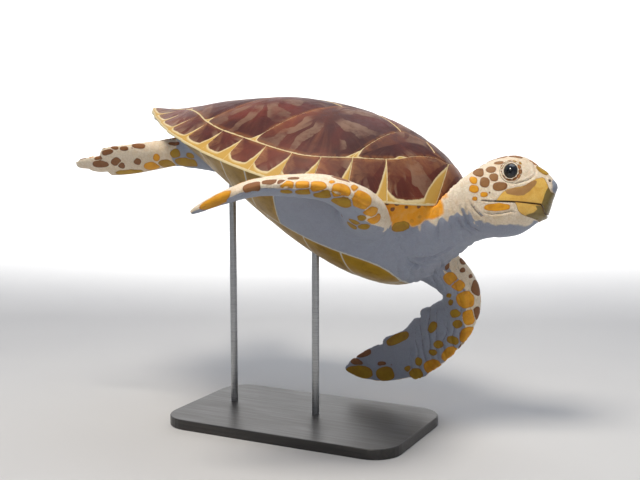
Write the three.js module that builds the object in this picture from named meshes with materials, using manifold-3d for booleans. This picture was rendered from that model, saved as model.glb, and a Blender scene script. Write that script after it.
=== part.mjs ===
// Hawksbill sea turtle (Eretmochelys imbricata), life size, held in a banked glide
// on a plain display stand. Millimetres, +Z up, origin under the middle of the part.
//
// The animal is laid out in a frame of its own: x runs from the tail tip of the
// carapace (-400) to its front edge (+400), y is to its left, z is up. One turned
// group then gives the whole animal its glide: nose down and right side up.
import * as THREE from 'three';
import { mergeVertices } from 'three/addons/utils/BufferGeometryUtils.js';
import Module from 'manifold-3d';

const wasm = await Module();
wasm.setup();

// ---------------------------------------------------------------- driving sizes
const HALF_LENGTH = 400;        // half of the straight carapace length
const HALF_WIDTH = 298;         // half of the carapace width
const DOME_HEIGHT = 124;        // crown of the carapace over the end-to-end line
const RIM_DROP = 90;            // how far the rim dips at mid body
const BELLY_DEPTH = 214;        // deepest point of the plastron under the same line
const SHELL_THICK = 12;         // horn and bone of one scute
const RIM_THICK = 7;            // edge of the marginal scutes
const PLASTRON_THICK = 9;
const MARGINAL_WIDTH = 46;      // marginal row, measured in from the rim
const GAP = 0.35;               // seam between neighbouring pieces
const BED = 2.2;                // room between the scutes and the flesh they lie on
const NOSE_DOWN = 14.294;       // degrees
const BANK = -15.202;           // degrees, right side up
const LIFT = [-45, 66, 592];    // where the animal's own origin hangs over the base
const EYE_RADIUS = 17;

const BASE = { x: 270, y: 160, thick: 22, corner: 60 };
const ROD_RADIUS = 8;
const RODS = { front: [118, -8], rear: [-128, -18] };   // body-frame plan places

// ------------------------------------------------------------------- small maths
const clamp = (v, a, b) => Math.min(b, Math.max(a, v));
const smooth = (a, b, v) => { const t = clamp((v - a) / (b - a), 0, 1); return t * t * (3 - 2 * t); };
const bump = (u, a, b) => {     // rises as u^a, falls as (1-u)^b, peak value 1
  const w = clamp(u, 1e-9, 1 - 1e-9), p = a / (a + b);
  return Math.pow(w / p, a) * Math.pow((1 - w) / (1 - p), b);
};
const rad = (d) => (d * Math.PI) / 180;

// ------------------------------------------------------------------ shell surface
const toU = (x) => (HALF_LENGTH - x) / (2 * HALF_LENGTH);
const halfWidth = (u) => HALF_WIDTH * bump(u, 0.5, 0.72) * (1 - 0.3 * smooth(0.7, 1, u));
const rimZ = (u) => -RIM_DROP * bump(u, 0.62, 1.0);
const crownZ = (u) => DOME_HEIGHT * bump(u, 0.6, 1.12) * (1 - 0.11 * smooth(0.5, 0.74, u)) * (1 - 0.42 * smooth(0.7, 0.98, u));
const keelZ = (u) => -BELLY_DEPTH * bump(u, 0.33, 1.32);
const domeAt = (u, s) => {
  const n = 2.5 - 0.85 * smooth(0.45, 1, u);
  const p = Math.pow(Math.max(0, 1 - Math.pow(Math.abs(s), n)), 1.18);
  return rimZ(u) + (crownZ(u) - rimZ(u)) * p;
};
const sOf = (x, y) => clamp(y / Math.max(1e-6, halfWidth(toU(x))), -1, 1);
const domeZ = (x, y) => domeAt(toU(x), sOf(x, y));
const shellUnder = (x, y) => {
  const s = Math.abs(sOf(x, y));
  return domeZ(x, y) - SHELL_THICK + (SHELL_THICK - RIM_THICK) * smooth(0.86, 1, s);
};
const FLESH_EDGE = 0.93;        // the flesh stops this far out under the rim
const bellyAt = (u, s) => {
  const edge = domeAt(u, FLESH_EDGE) - SHELL_THICK - BED;
  const q = clamp(Math.abs(s) / FLESH_EDGE, 0, 1);
  return edge + (keelZ(u) - edge) * Math.pow(1 - q * q * q, 1.15);
};
const bellyZ = (x, y) => bellyAt(toU(x), sOf(x, y));

// ------------------------------------------------------------- closed mesh makers
function geometryOf(points, tris) {
  const g = new THREE.BufferGeometry();
  g.setAttribute('position', new THREE.Float32BufferAttribute(points.flat(), 3));
  g.setIndex(tris.flat());
  return g;
}
function solidOf(geometry) {
  let g = geometry.clone();
  g.deleteAttribute('normal'); g.deleteAttribute('uv');
  g = mergeVertices(g, 1e-4);
  const idx = g.index.array, keep = [];
  for (let i = 0; i < idx.length; i += 3) {
    if (idx[i] !== idx[i + 1] && idx[i + 1] !== idx[i + 2] && idx[i] !== idx[i + 2]) keep.push(idx[i], idx[i + 1], idx[i + 2]);
  }
  return new wasm.Manifold(new wasm.Mesh({
    numProp: 3,
    vertProperties: new Float32Array(g.attributes.position.array),
    triVerts: new Uint32Array(keep),
  }));
}
function geometryFrom(solid) {
  const m = solid.getMesh();
  const g = new THREE.BufferGeometry();
  const p = new Float32Array(m.numVert * 3);
  for (let i = 0; i < m.numVert; i++) for (let k = 0; k < 3; k++) p[3 * i + k] = m.vertProperties[m.numProp * i + k];
  g.setAttribute('position', new THREE.BufferAttribute(p, 3));
  g.setIndex(new THREE.BufferAttribute(new Uint32Array(m.triVerts), 1));
  return g;
}

// rings of equal length joined into one closed body, both ends closed by a fan
function skinRings(rings) {
  const n = rings[0].length, pts = rings.flat(), tris = [];
  for (let r = 0; r + 1 < rings.length; r++) {
    for (let i = 0; i < n; i++) {
      const a = r * n + i, b = r * n + ((i + 1) % n), c = a + n, d = b + n;
      tris.push([a, b, d], [a, d, c]);
    }
  }
  const mid = (ring) => ring.reduce((s, p) => s.map((v, k) => v + p[k] / n), [0, 0, 0]);
  const first = pts.length; pts.push(mid(rings[0]));
  const last = pts.length; pts.push(mid(rings[rings.length - 1]));
  const o = (rings.length - 1) * n;
  for (let i = 0; i < n; i++) {
    const j = (i + 1) % n;
    tris.push([first, j, i], [last, o + i, o + j]);
  }
  const g = geometryOf(pts, tris);
  return solidOf(volumeOf(g) < 0 ? flipped(g) : g);
}
function volumeOf(g) {
  const p = g.attributes.position.array, ix = g.index.array;
  let v = 0;
  for (let i = 0; i < ix.length; i += 3) {
    const [a, b, c] = [ix[i] * 3, ix[i + 1] * 3, ix[i + 2] * 3];
    v += p[a] * (p[b + 1] * p[c + 2] - p[b + 2] * p[c + 1])
       - p[a + 1] * (p[b] * p[c + 2] - p[b + 2] * p[c])
       + p[a + 2] * (p[b] * p[c + 1] - p[b + 1] * p[c]);
  }
  return v / 6;
}
function flipped(g) {
  const ix = Array.from(g.index.array);
  for (let i = 0; i < ix.length; i += 3) [ix[i + 1], ix[i + 2]] = [ix[i + 2], ix[i + 1]];
  const h = g.clone(); h.setIndex(ix); return h;
}
// Catmull-Rom through rows of numbers, `steps` rows for each interval
function refine(rows, steps) {
  const out = [];
  for (let i = 0; i + 1 < rows.length; i++) {
    const p0 = rows[Math.max(0, i - 1)], p1 = rows[i], p2 = rows[i + 1], p3 = rows[Math.min(rows.length - 1, i + 2)];
    for (let k = 0; k < steps; k++) {
      const t = k / steps, t2 = t * t, t3 = t2 * t;
      out.push(p1.map((_, j) => 0.5 * (2 * p1[j] + (p2[j] - p0[j]) * t
        + (2 * p0[j] - 5 * p1[j] + 4 * p2[j] - p3[j]) * t2
        + (3 * p1[j] - p0[j] - 3 * p2[j] + p3[j]) * t3)));
    }
  }
  out.push(rows[rows.length - 1]);
  return out;
}
const pw = (v, n) => Math.sign(v) * Math.pow(Math.abs(v), 2 / n);

// A four-sided plate in plan, upright edges, its faces on two height functions.
// sides: south, east, north, west polylines that meet at the corners; every corner
// of a polyline stays a corner of the plate, so neighbours share it exactly.
function dense(line, n) {
  const seg = line.slice(1).map((p, i) => Math.hypot(p[0] - line[i][0], p[1] - line[i][1]));
  const total = seg.reduce((a, b) => a + b, 0), count = seg.map(() => 1);
  for (let left = n - seg.length; left > 0; left--) {
    let best = 0;
    seg.forEach((l, i) => { if (l / count[i] > seg[best] / count[best] + total * 1e-9) best = i; });
    count[best] += 1;
  }
  const out = [];
  seg.forEach((_, i) => {
    for (let k = 0; k < count[i]; k++) { const f = k / count[i]; out.push([line[i][0] + (line[i + 1][0] - line[i][0]) * f, line[i][1] + (line[i + 1][1] - line[i][1]) * f]); }
  });
  out.push(line[line.length - 1]);
  return out;
}
function plate(south, east, north, west, nu, nv, top, under, draw = GAP / 2) {
  const S = dense(south, nu), N = dense(north, nu), W = dense(west, nv), E = dense(east, nv);
  const mixed = (i, j) => [0, 1].map((k) => {
    const a = i / nu, b = j / nv;
    return (1 - b) * S[i][k] + b * N[i][k] + (1 - a) * W[j][k] + a * E[j][k]
      - ((1 - a) * (1 - b) * S[0][k] + a * (1 - b) * S[nu][k] + (1 - a) * b * N[0][k] + a * b * N[nu][k]);
  });
  const plan = [];
  for (let j = 0; j <= nv; j++) for (let i = 0; i <= nu; i++) plan.push(mixed(i, j));
  // draw the outline in by half a seam (a negative draw lets it out)
  const id = (i, j) => j * (nu + 1) + i;
  const rim = [];
  for (let i = 0; i < nu; i++) rim.push(id(i, 0));
  for (let j = 0; j < nv; j++) rim.push(id(nu, j));
  for (let i = nu; i > 0; i--) rim.push(id(i, nv));
  for (let j = nv; j > 0; j--) rim.push(id(0, j));
  let area = 0;
  rim.forEach((a, k) => { const b = rim[(k + 1) % rim.length]; area += plan[a][0] * plan[b][1] - plan[b][0] * plan[a][1]; });
  const turn = Math.sign(area);
  const drawn = (amount) => {
    const out = plan.map((p) => p.slice());
    rim.forEach((a, k) => {
      const p = plan[rim[(k + rim.length - 1) % rim.length]], q = plan[a], r = plan[rim[(k + 1) % rim.length]];
      const n1 = unit2([-(q[1] - p[1]) * turn, (q[0] - p[0]) * turn]), n2 = unit2([-(r[1] - q[1]) * turn, (r[0] - q[0]) * turn]);
      const m = unit2([n1[0] + n2[0], n1[1] + n2[1]]), c = Math.max(0.35, m[0] * n1[0] + m[1] * n1[1]);
      out[a] = [q[0] + (m[0] * amount) / c, q[1] + (m[1] * amount) / c];
    });
    return out;
  };
  const at = drawn(GAP / 2), place = drawn(draw);            // heights are always read at the true outline
  const pts = place.map((p, i) => [p[0], p[1], top(...at[i])]).concat(place.map((p, i) => [p[0], p[1], under(...at[i])]));
  const o = plan.length, tris = [];
  for (let j = 0; j < nv; j++) for (let i = 0; i < nu; i++) {
    const a = id(i, j), b = id(i + 1, j), c = id(i + 1, j + 1), d = id(i, j + 1);
    tris.push([a, b, c], [a, c, d], [a + o, c + o, b + o], [a + o, d + o, c + o]);
  }
  rim.forEach((a, k) => { const b = rim[(k + 1) % rim.length]; tris.push([a, b + o, b], [a, a + o, b + o]); });
  const g = geometryOf(pts, tris);
  return solidOf(volumeOf(g) < 0 ? flipped(g) : g);
}
const unit2 = (v) => { const l = Math.hypot(v[0], v[1]) || 1; return [v[0] / l, v[1] / l]; };
const mirror = (line) => line.map((p) => [p[0], -p[1]]);

// --------------------------------------------------------------- scute plan lines
const uX = (u) => HALF_LENGTH - 2 * HALF_LENGTH * u;
const rimPoint = (u) => [uX(u), halfWidth(u)];
// marginal seam: the rim curve drawn inwards along its own normal
function seamPoint(u) {
  const h = 0.004, a = rimPoint(clamp(u - h, 0.0005, 0.9995)), b = rimPoint(clamp(u + h, 0.0005, 0.9995));
  const t = unit2([b[0] - a[0], b[1] - a[1]]);
  const n = [t[1], -t[0]];                                   // towards the midline
  const inward = n[1] < 0 ? n : [-n[0], -n[1]];
  const w = MARGINAL_WIDTH * (1 + 0.22 * smooth(0.12, 0.3, Math.abs(u - 0.47)));
  const p = rimPoint(u);
  return [p[0] + inward[0] * w, p[1] + inward[1] * w];
}
const span = (f, a, b, n) => Array.from({ length: n + 1 }, (_, i) => f(a + ((b - a) * i) / n));

const NUCHAL_U = 0.03, NUCHAL_BACK = [uX(0.062), 46];        // nuchal: rim side and rear corner
// vertebral seams: [place of the seam, half length of it], and the side corner behind each
const VERTEBRAL = [[0.062, 46], [0.135, 52], [0.28, 58], [0.475, 54], [0.665, 42], [0.925, 22]];
const CORNER = [[0.098, 66], [0.19, 94], [0.365, 98], [0.565, 84]];
const COSTAL_OUT = [0.088, 0.2, 0.488, 0.69, 0.85];           // costal seams where they meet the marginals
const LAST_CORNER_U = 0.885, LAST_RIM_U = 0.91;               // fifth vertebral's side corner; last pair of marginals
const SEAM_STEPS = 5;

const seamV = VERTEBRAL.map(([u, h]) => [uX(u), h]);
const cornerV = [...CORNER.map(([u, h]) => [uX(u), h]), seamPoint(LAST_CORNER_U)];

const pieces = {};              // name -> {solid, colour, rough, metal}
const put = (name, solid, colour, rough = 0.6, metal = 0) => { pieces[name] = { solid, colour, rough, metal }; };
const HORN = 0x6b3f2e, HORN_EDGE = 0x7d5138, SKIN = 0xdccfae, SCALE = 0xb98a3c;

for (let k = 0; k < 5; k++) {
  const front = seamV[k], back = seamV[k + 1], side = cornerV[k];
  put(`vertebral_${k + 1}`, plate(
    [[front[0], -front[1]], [front[0], front[1]]],
    [front, side, back],
    [[back[0], -back[1]], [back[0], back[1]]],
    mirror([front, side, back]),
    6, 5, domeZ, shellUnder), HORN);
}
const seamRun = [0, 1, 2, 3].map((k) => span(seamPoint, COSTAL_OUT[k], COSTAL_OUT[k + 1], SEAM_STEPS));
for (let k = 0; k < 4; k++) {
  // inner edge: side corner, end of the vertebral seam, next side corner
  const inner = k === 0 ? [seamV[0], cornerV[0], seamV[1], cornerV[1]] : [cornerV[k], seamV[k + 1], cornerV[k + 1]];
  const frontEdge = [inner[0], seamRun[k][0]], backEdge = [inner[inner.length - 1], seamRun[k][SEAM_STEPS]];
  for (const [side, f] of [['left', (l) => l], ['right', mirror]]) {
    put(`costal_${side}_${k + 1}`, plate(f(inner), f(backEdge), f(seamRun[k]), f(frontEdge), SEAM_STEPS, 6, domeZ, shellUnder), HORN);
  }
}
const rimCutters = [];           // what the rim pieces take out of the flesh under them
function rimPlate(name, south, east, north, west, nu, nv) {
  put(name, plate(south, east, north, west, nu, nv, domeZ, shellUnder), HORN_EDGE);
  rimCutters.push(plate(south, east, north, west, nu, nv, () => 420, (x, y) => shellUnder(x, y) - 4 * GAP, -GAP));
}
const seamAll = [NUCHAL_BACK, ...seamRun.flatMap((r, k) => (k === 0 ? r : r.slice(1))), cornerV[4]];
const rimAll = span(rimPoint, NUCHAL_U, LAST_RIM_U, seamAll.length - 1);
for (const [side, f] of [['left', (l) => l], ['right', mirror]]) {
  rimPlate(`marginals_${side}`, f(seamAll), f([cornerV[4], rimPoint(LAST_RIM_U)]), f(rimAll), f([NUCHAL_BACK, rimPoint(NUCHAL_U)]), seamAll.length - 1, 2);
  rimPlate(`supracaudal_${side}`, f([cornerV[4], seamV[5], [seamV[5][0], 0]]), f([[seamV[5][0], 0], [-HALF_LENGTH + 1, 0]]),
    f([...span(rimPoint, LAST_RIM_U, 0.9985, 5), [-HALF_LENGTH + 1, 0]]), f([cornerV[4], rimPoint(LAST_RIM_U)]), 6, 2);
}
rimPlate('nuchal', [[NUCHAL_BACK[0], -NUCHAL_BACK[1]], NUCHAL_BACK], [NUCHAL_BACK, rimPoint(NUCHAL_U)],
  [...span((u) => [rimPoint(u)[0], -rimPoint(u)[1]], NUCHAL_U, 0.0005, 4), ...span(rimPoint, 0.0005, NUCHAL_U, 4)],
  mirror([NUCHAL_BACK, rimPoint(NUCHAL_U)]), 9, 3);

// ------------------------------------------------------------------------ plastron
const PL_FRONT = 0.085, PL_BACK = 0.83;
const plastronHalf = (u) => 158 * bump(clamp((u - PL_FRONT) / (PL_BACK - PL_FRONT), 0.0001, 0.9999), 0.32, 0.62);
const plastronUnder = (x, y) => bellyZ(x, y);
const plastronTop = (x, y) => bellyZ(x, y) + PLASTRON_THICK;
function plastronPlate(grow, top, under, nu, nv) {
  const line = (sg) => span((u) => [uX(u) + (0.5 - (u - PL_FRONT) / (PL_BACK - PL_FRONT)) * 2 * grow, sg * (plastronHalf(u) + grow)], PL_FRONT + 0.004, PL_BACK - 0.004, 20);
  const l = line(1), r = line(-1);
  return plate(r, [r[20], l[20]], l, [r[0], l[0]], nu, nv, top, under);
}
put('plastron', plastronPlate(0, plastronTop, plastronUnder, 12, 6), 0xd8c27a);

// --------------------------------------------------------------------------- flesh
// ring between a top point and a bottom point in the x-z plane, half width across
function uprightRing([tx, tz, bx, bz, hw, n], count) {
  const cx = (tx + bx) / 2, cz = (tz + bz) / 2, ux = (tx - bx) / 2, uz = (tz - bz) / 2;
  return Array.from({ length: count }, (_, i) => {
    const a = (2 * Math.PI * i) / count, c = pw(Math.cos(a), n), s = pw(Math.sin(a), n);
    return [cx + ux * s, hw * c, cz + uz * s];
  });
}
const HEAD_PITCH = rad(17), HEAD_AT = [470, 35];
const fromHead = (xh, zh) => [HEAD_AT[0] + xh * Math.cos(HEAD_PITCH) - zh * Math.sin(HEAD_PITCH), HEAD_AT[1] + xh * Math.sin(HEAD_PITCH) + zh * Math.cos(HEAD_PITCH)];
// head sections: distance along the head, top, bottom, half width
const HEAD = [
  [-30, 74, -86, 78], [-6, 80, -83, 67], [14, 83, -80, 62], [32, 82, -76, 57], [48, 76, -71, 50],
  [62, 66.5, -64, 42], [75, 55, -57, 34], [86, 46, -47, 27], [95, 37, -27, 20.5], [101.5, 30, -5, 14], [106, 24, 12, 6],
];
const neckRows = [
  [300, -38, 300, -160, 142, 2.3], [348, 26, 350, -168, 131, 2.3], [388, 62, 398, -120, 112, 2.3], [410, 84, 428, -88, 96, 2.3],
  ...HEAD.map(([xh, t, b, hw]) => { const T = fromHead(xh, t), B = fromHead(xh, b); return [T[0], T[1], B[0], B[1], hw, 2.3]; }),
];
const neckHead = skinRings([...refine(neckRows.slice(0, 6), 2), ...neckRows.slice(6)].map((r) => uprightRing(r, 16)));

// trunk: inner face of the carapace above, belly below
function trunkRing(u) {
  const x = uX(u), w = halfWidth(u), out = [], n = 10;
  for (let i = 0; i <= n; i++) { const s = -FLESH_EDGE + (2 * FLESH_EDGE * i) / n; out.push([x, s * w, shellUnder(x, s * w) + 4]); }
  for (let i = n - 1; i > 0; i--) { const s = -FLESH_EDGE + (2 * FLESH_EDGE * i) / n; out.push([x, s * w, Math.min(bellyAt(u, s), shellUnder(x, s * w) - BED - 2)]); }
  return out;
}
const trunkBody = skinRings([0.035, 0.065, 0.1, 0.145, 0.2, 0.27, 0.35, 0.43, 0.51, 0.59, 0.67, 0.75, 0.82, 0.88, 0.935].map(trunkRing));

// limb: rows of [x, y, z, half chord, half thickness, nx, ny, nz] with n the upper face
function limb(rows, steps, count, fat = 0, edge = 2) {
  const r = refine(rows, steps).map((q) => q.map((v, k) => (k === 3 || k === 4 ? v + fat : v)));
  return skinRings(r.map((q, i) => {
    const a = r[Math.max(0, i - 1)], b = r[Math.min(r.length - 1, i + 1)];
    const t = new THREE.Vector3(b[0] - a[0], b[1] - a[1], b[2] - a[2]).normalize();
    const n = new THREE.Vector3(q[5], q[6], q[7]); n.addScaledVector(t, -n.dot(t)).normalize();
    const c = new THREE.Vector3().crossVectors(n, t).normalize();
    return Array.from({ length: count }, (_, k) => {
      const f = (2 * Math.PI * k) / count, cc = pw(Math.cos(f), edge), ss = pw(Math.sin(f), edge);
      return [q[0] + c.x * q[3] * cc + n.x * q[4] * ss, q[1] + c.y * q[3] * cc + n.y * q[4] * ss, q[2] + c.z * q[3] * cc + n.z * q[4] * ss];
    });
  }));
}
const LIMBS = {
  flipper_front_right: {
    steps: 2, count: 12, root: [266, -182, -106], out: [0.28, -0.96, 0],
    rows: [
      [222, -88, -108, 62, 46, 0, 0, 1], [256, -155, -106, 56, 42, 0, 0, 1], [284, -222, -102, 49, 37, 0, 0, 1],
      [300, -285, -93, 44, 33, -0.1, -0.1, 1], [290, -338, -85, 46, 28, -0.2, -0.2, 0.95], [254, -372, -84, 53, 24, -0.24, -0.2, 0.93],
      [205, -392, -98, 58, 20, -0.24, -0.2, 0.92], [146, -408, -122, 53, 16, -0.24, -0.2, 0.92], [94, -421, -160, 36, 12, -0.24, -0.2, 0.92],
      [62, -429, -190, 17, 8, -0.24, -0.2, 0.92], [48, -432, -204, 5, 4, -0.24, -0.2, 0.92],
    ],
  },
  flipper_front_left: {
    steps: 2, count: 12, root: [360, 140, -142], out: [0.6, 0.6, -0.5],
    rows: [
      [250, 80, -118, 60, 46, 0.2, 0.6, 0.6], [320, 118, -128, 52, 44, 0.2, 0.9, 0.3], [372, 146, -146, 44, 38, 0.2, 1, 0.1],
      [404, 184, -180, 44, 30, 0.1, 1, 0.1], [390, 214, -234, 62, 24, 0, 1, 0.1], [357, 234, -293, 68, 18, 0, 1, 0.2],
      [316, 247, -343, 65, 14, 0, 1, 0.25], [270, 256, -385, 54, 11, 0, 1, 0.25], [226, 262, -408, 37, 8.5, 0, 1, 0.25],
      [191, 265, -424, 19, 6, 0, 1, 0.25], [174, 266, -432, 6, 3.5, 0, 1, 0.25],
    ],
  },
  flipper_hind_right: {
    steps: 2, count: 10, root: [-206, -101, -82], out: [-0.92, -0.15, -0.36],
    rows: [
      [-120, -84, -66, 44, 34, 0.2, 0.4, 0.9], [-186, -98, -77, 42, 29, 0.1, 0.45, 0.85], [-246, -108, -97, 38, 23, 0, 0.5, 0.8],
      [-300, -116, -123, 40, 17, 0, 0.5, 0.8], [-350, -121, -147, 44, 13, 0, 0.5, 0.8], [-396, -124, -167, 42, 10, 0, 0.5, 0.8],
      [-434, -127, -181, 28, 7, 0, 0.5, 0.8], [-455, -129, -188, 8, 4, 0, 0.5, 0.8],
    ],
  },
  flipper_hind_left: {
    steps: 2, count: 10, root: [-196, 162, -64], out: [-0.62, 0.78, 0],
    rows: [
      [-120, 84, -66, 44, 32, 0, 0, 1], [-176, 138, -66, 42, 28, 0, 0, 1], [-222, 196, -62, 42, 22, 0, 0, 1],
      [-262, 246, -58, 46, 16, 0, 0, 1], [-296, 290, -54, 48, 12, 0, 0, 1], [-326, 328, -50, 44, 9, 0, 0, 1],
      [-348, 356, -48, 28, 6, 0, 0, 1], [-358, 370, -47, 9, 4, 0, 0, 1],
    ],
  },
  tail: {
    steps: 1, count: 10, root: [-296, 0, -69], out: [-1, 0, -0.15],
    rows: [[-240, 0, -62, 36, 27, 0, 0, 1], [-290, 0, -68, 28, 22, 0, 0, 1], [-325, 0, -74, 19, 15, 0, 0, 1], [-352, 0, -80, 11, 9, 0, 0, 1], [-370, 0, -85, 4, 4, 0, 0, 1]],
  },
};

// everything the carapace and the plastron take up, a seam wider than they are
function slab(scale, bottom, top) {
  const rings = [], n = 10;
  for (const u0 of span((t) => (1 - Math.cos(Math.PI * t)) / 2, 0, 1, 18)) {
    const u = clamp(u0, 0.0004, 0.9996), x = uX(u), w = halfWidth(u), out = [];
    const X = x * (1 + GAP / HALF_LENGTH * scale), k = (w + GAP * scale) / w;
    for (let i = 0; i <= n; i++) { const y = Math.sin(Math.PI * (i / n - 0.5)) * w; out.push([X, y * k, bottom(x, y)]); }
    out.push([X, w * k, top], [X, -w * k, top]);
    rings.push(out);
  }
  return skinRings(rings);
}
const carapaceRoom = slab(2, (x, y) => shellUnder(x, y) - BED, 420);
const plastronRoom = plastronPlate(GAP * 2, (x, y) => plastronTop(x, y) + GAP, () => -520, 12, 6);

let room = carapaceRoom;
for (const c of rimCutters) room = room.add(c);

// a box that starts on a root plane and reaches outwards from it
function boxFrom(root, dir, start, half, depth) {
  const g = new THREE.BoxGeometry(2 * half, 2 * half, depth);
  g.translate(0, 0, depth / 2 + start);
  const z = new THREE.Vector3(...dir).normalize(), x = new THREE.Vector3().crossVectors(new THREE.Vector3(0, 0, 1), z).normalize();
  g.applyMatrix4(new THREE.Matrix4().makeBasis(x, new THREE.Vector3().crossVectors(z, x), z).setPosition(...root));
  return solidOf(g);
}
const widest = (solid) => {          // the largest body of a cut, without loose crumbs
  const list = solid.decompose();
  return list.reduce((a, b) => (b.volume() > a.volume() ? b : a));
};
const trimmed = (solid) => solid.subtract(room).subtract(plastronRoom);

// Limbs keep their own lofts beyond a root plane; the trunk is cut to let them in.
let flesh = trunkBody.add(neckHead);
const limbs = {};
for (const [name, l] of Object.entries(LIMBS)) {
  const whole = limb(l.rows, l.steps, l.count), room1 = limb(l.rows, l.steps, l.count, GAP);
  limbs[name] = trimmed(whole.intersect(boxFrom(l.root, l.out, GAP / 2, 600, 900)));
  flesh = flesh.add(whole.subtract(boxFrom(l.root, l.out, 0, 600, 900))).subtract(room1.intersect(boxFrom(l.root, l.out, -GAP / 2, 601, 901)));
}
flesh = trimmed(flesh);

// head and neck: thin cuts across the front of the body
const headDir = [Math.cos(HEAD_PITCH), 0, Math.sin(HEAD_PITCH)];
const jawBack = fromHead(-34, 0), headRoot = [jawBack[0], 0, jawBack[1]];
const HEAD_DEPTH = 220, NECK_ROOT = [366, 0, -10], NECK_DIR = [0.9, 0, 0.43];
let headWhole = widest(flesh.intersect(boxFrom(headRoot, headDir, GAP / 2, 130, HEAD_DEPTH)));
flesh = flesh.subtract(boxFrom(headRoot, headDir, -GAP / 2, 130.1, HEAD_DEPTH));
const neckWhole = widest(flesh.intersect(boxFrom(NECK_ROOT, NECK_DIR, GAP / 2, 125, 200)));
flesh = flesh.subtract(boxFrom(NECK_ROOT, NECK_DIR, -GAP / 2, 125.1, 200));

// beak: two horn sheaths parted from the head along the mouth line
function prism(points, half) {       // head-frame outline carried straight across
  const shape = new THREE.Shape(points.map(([xh, zh]) => new THREE.Vector2(xh, zh)));
  const g = new THREE.ExtrudeGeometry(shape, { depth: 2 * half, bevelEnabled: false });
  g.translate(0, 0, -half);
  g.applyMatrix4(new THREE.Matrix4().makeBasis(
    new THREE.Vector3(headDir[0], 0, headDir[2]), new THREE.Vector3(-headDir[2], 0, headDir[0]), new THREE.Vector3(0, -1, 0))
    .setPosition(HEAD_AT[0], 0, HEAD_AT[1]));
  return solidOf(g);
}
const MOUTH = [[-14, -21], [24, -22], [81.5, -24], [86.5, -38.2], [116, -44.5]];
const upperLine = [...MOUTH, [116, 3], [99, 6], [92, 22], [82, 33], [70, 30], [54, 19], [36, 12], [18, 2], [3, -12]];
const lowerLine = [...MOUTH.slice(1).reverse(), [36, -46], [50, -58], [64, -84], [116, -84]];
function offset(line, k) {           // outline drawn out by k, or in when k is negative
  const turn = Math.sign(line.reduce((s, p, i) => { const q = line[(i + 1) % line.length]; return s + p[0] * q[1] - q[0] * p[1]; }, 0));
  return line.map((q, i) => {
    const p = line[(i + line.length - 1) % line.length], r = line[(i + 1) % line.length];
    const n1 = unit2([(q[1] - p[1]) * turn, -(q[0] - p[0]) * turn]), n2 = unit2([(r[1] - q[1]) * turn, -(r[0] - q[0]) * turn]);
    const m = unit2([n1[0] + n2[0], n1[1] + n2[1]]), c = Math.max(0.3, m[0] * n1[0] + m[1] * n1[1]);
    return [q[0] + (m[0] * k) / c, q[1] + (m[1] * k) / c];
  });
}
const beakUpper = widest(headWhole.intersect(prism(offset(upperLine, -GAP / 2), 90)));
const beakLower = widest(headWhole.intersect(prism(offset(lowerLine, -GAP / 2), 90)));
headWhole = headWhole.subtract(prism(offset(upperLine, GAP / 2), 91)).subtract(prism(offset(lowerLine, GAP / 2), 91));

// eyes: balls seated in sockets cut into the head
const EYE = { xh: 25, y: 41.5, zh: 42 };
const eyes = {};
for (const [side, sg] of [['left', 1], ['right', -1]]) {
  const [x, z] = fromHead(EYE.xh, EYE.zh);
  const ball = new THREE.SphereGeometry(EYE_RADIUS, 10, 7); ball.scale(1, 0.94, 1); ball.rotateY(-HEAD_PITCH); ball.translate(x, sg * EYE.y, z);
  const socket = new THREE.SphereGeometry(EYE_RADIUS + 1.2, 10, 7); socket.scale(1, 0.94, 1); socket.rotateY(-HEAD_PITCH); socket.translate(x, sg * EYE.y, z);
  headWhole = headWhole.subtract(solidOf(socket));
  eyes[side] = solidOf(ball);
}

put('trunk', widest(flesh), SKIN, 0.75);
put('neck', neckWhole, SKIN, 0.75);
put('head', widest(headWhole), SKIN, 0.7);
put('beak_upper', beakUpper, 0xcf9f4a, 0.4);
put('beak_lower', beakLower, 0xd6aa55, 0.4);
for (const side of ['left', 'right']) put(`eye_${side}`, eyes[side], 0x1c2228, 0.1);
for (const [name, solid] of Object.entries(limbs)) put(name, widest(solid), name === 'tail' ? SKIN : SCALE, 0.7);

// --------------------------------------------------------------- pose and the stand
const turn = new THREE.Matrix4().makeRotationFromEuler(new THREE.Euler(rad(BANK), rad(NOSE_DOWN), 0, 'YXZ'));
const world = new THREE.Matrix4().makeTranslation(...LIFT).multiply(turn);
const back = world.clone().invert();

const animal = new THREE.Group();
animal.rotation.set(rad(BANK), rad(NOSE_DOWN), 0, 'YXZ');
animal.position.set(...LIFT);
const part_ = new THREE.Group();
part_.add(animal);
function addMesh(group, name, geometry, colour, rough, metal) {
  geometry.computeVertexNormals();
  const mesh = new THREE.Mesh(geometry, new THREE.MeshStandardMaterial({ color: colour, roughness: rough, metalness: metal }));
  mesh.name = name;
  group.add(mesh);
}
for (const [name, p] of Object.entries(pieces)) addMesh(animal, name, geometryFrom(p.solid), p.colour, p.rough, p.metal);

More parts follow.
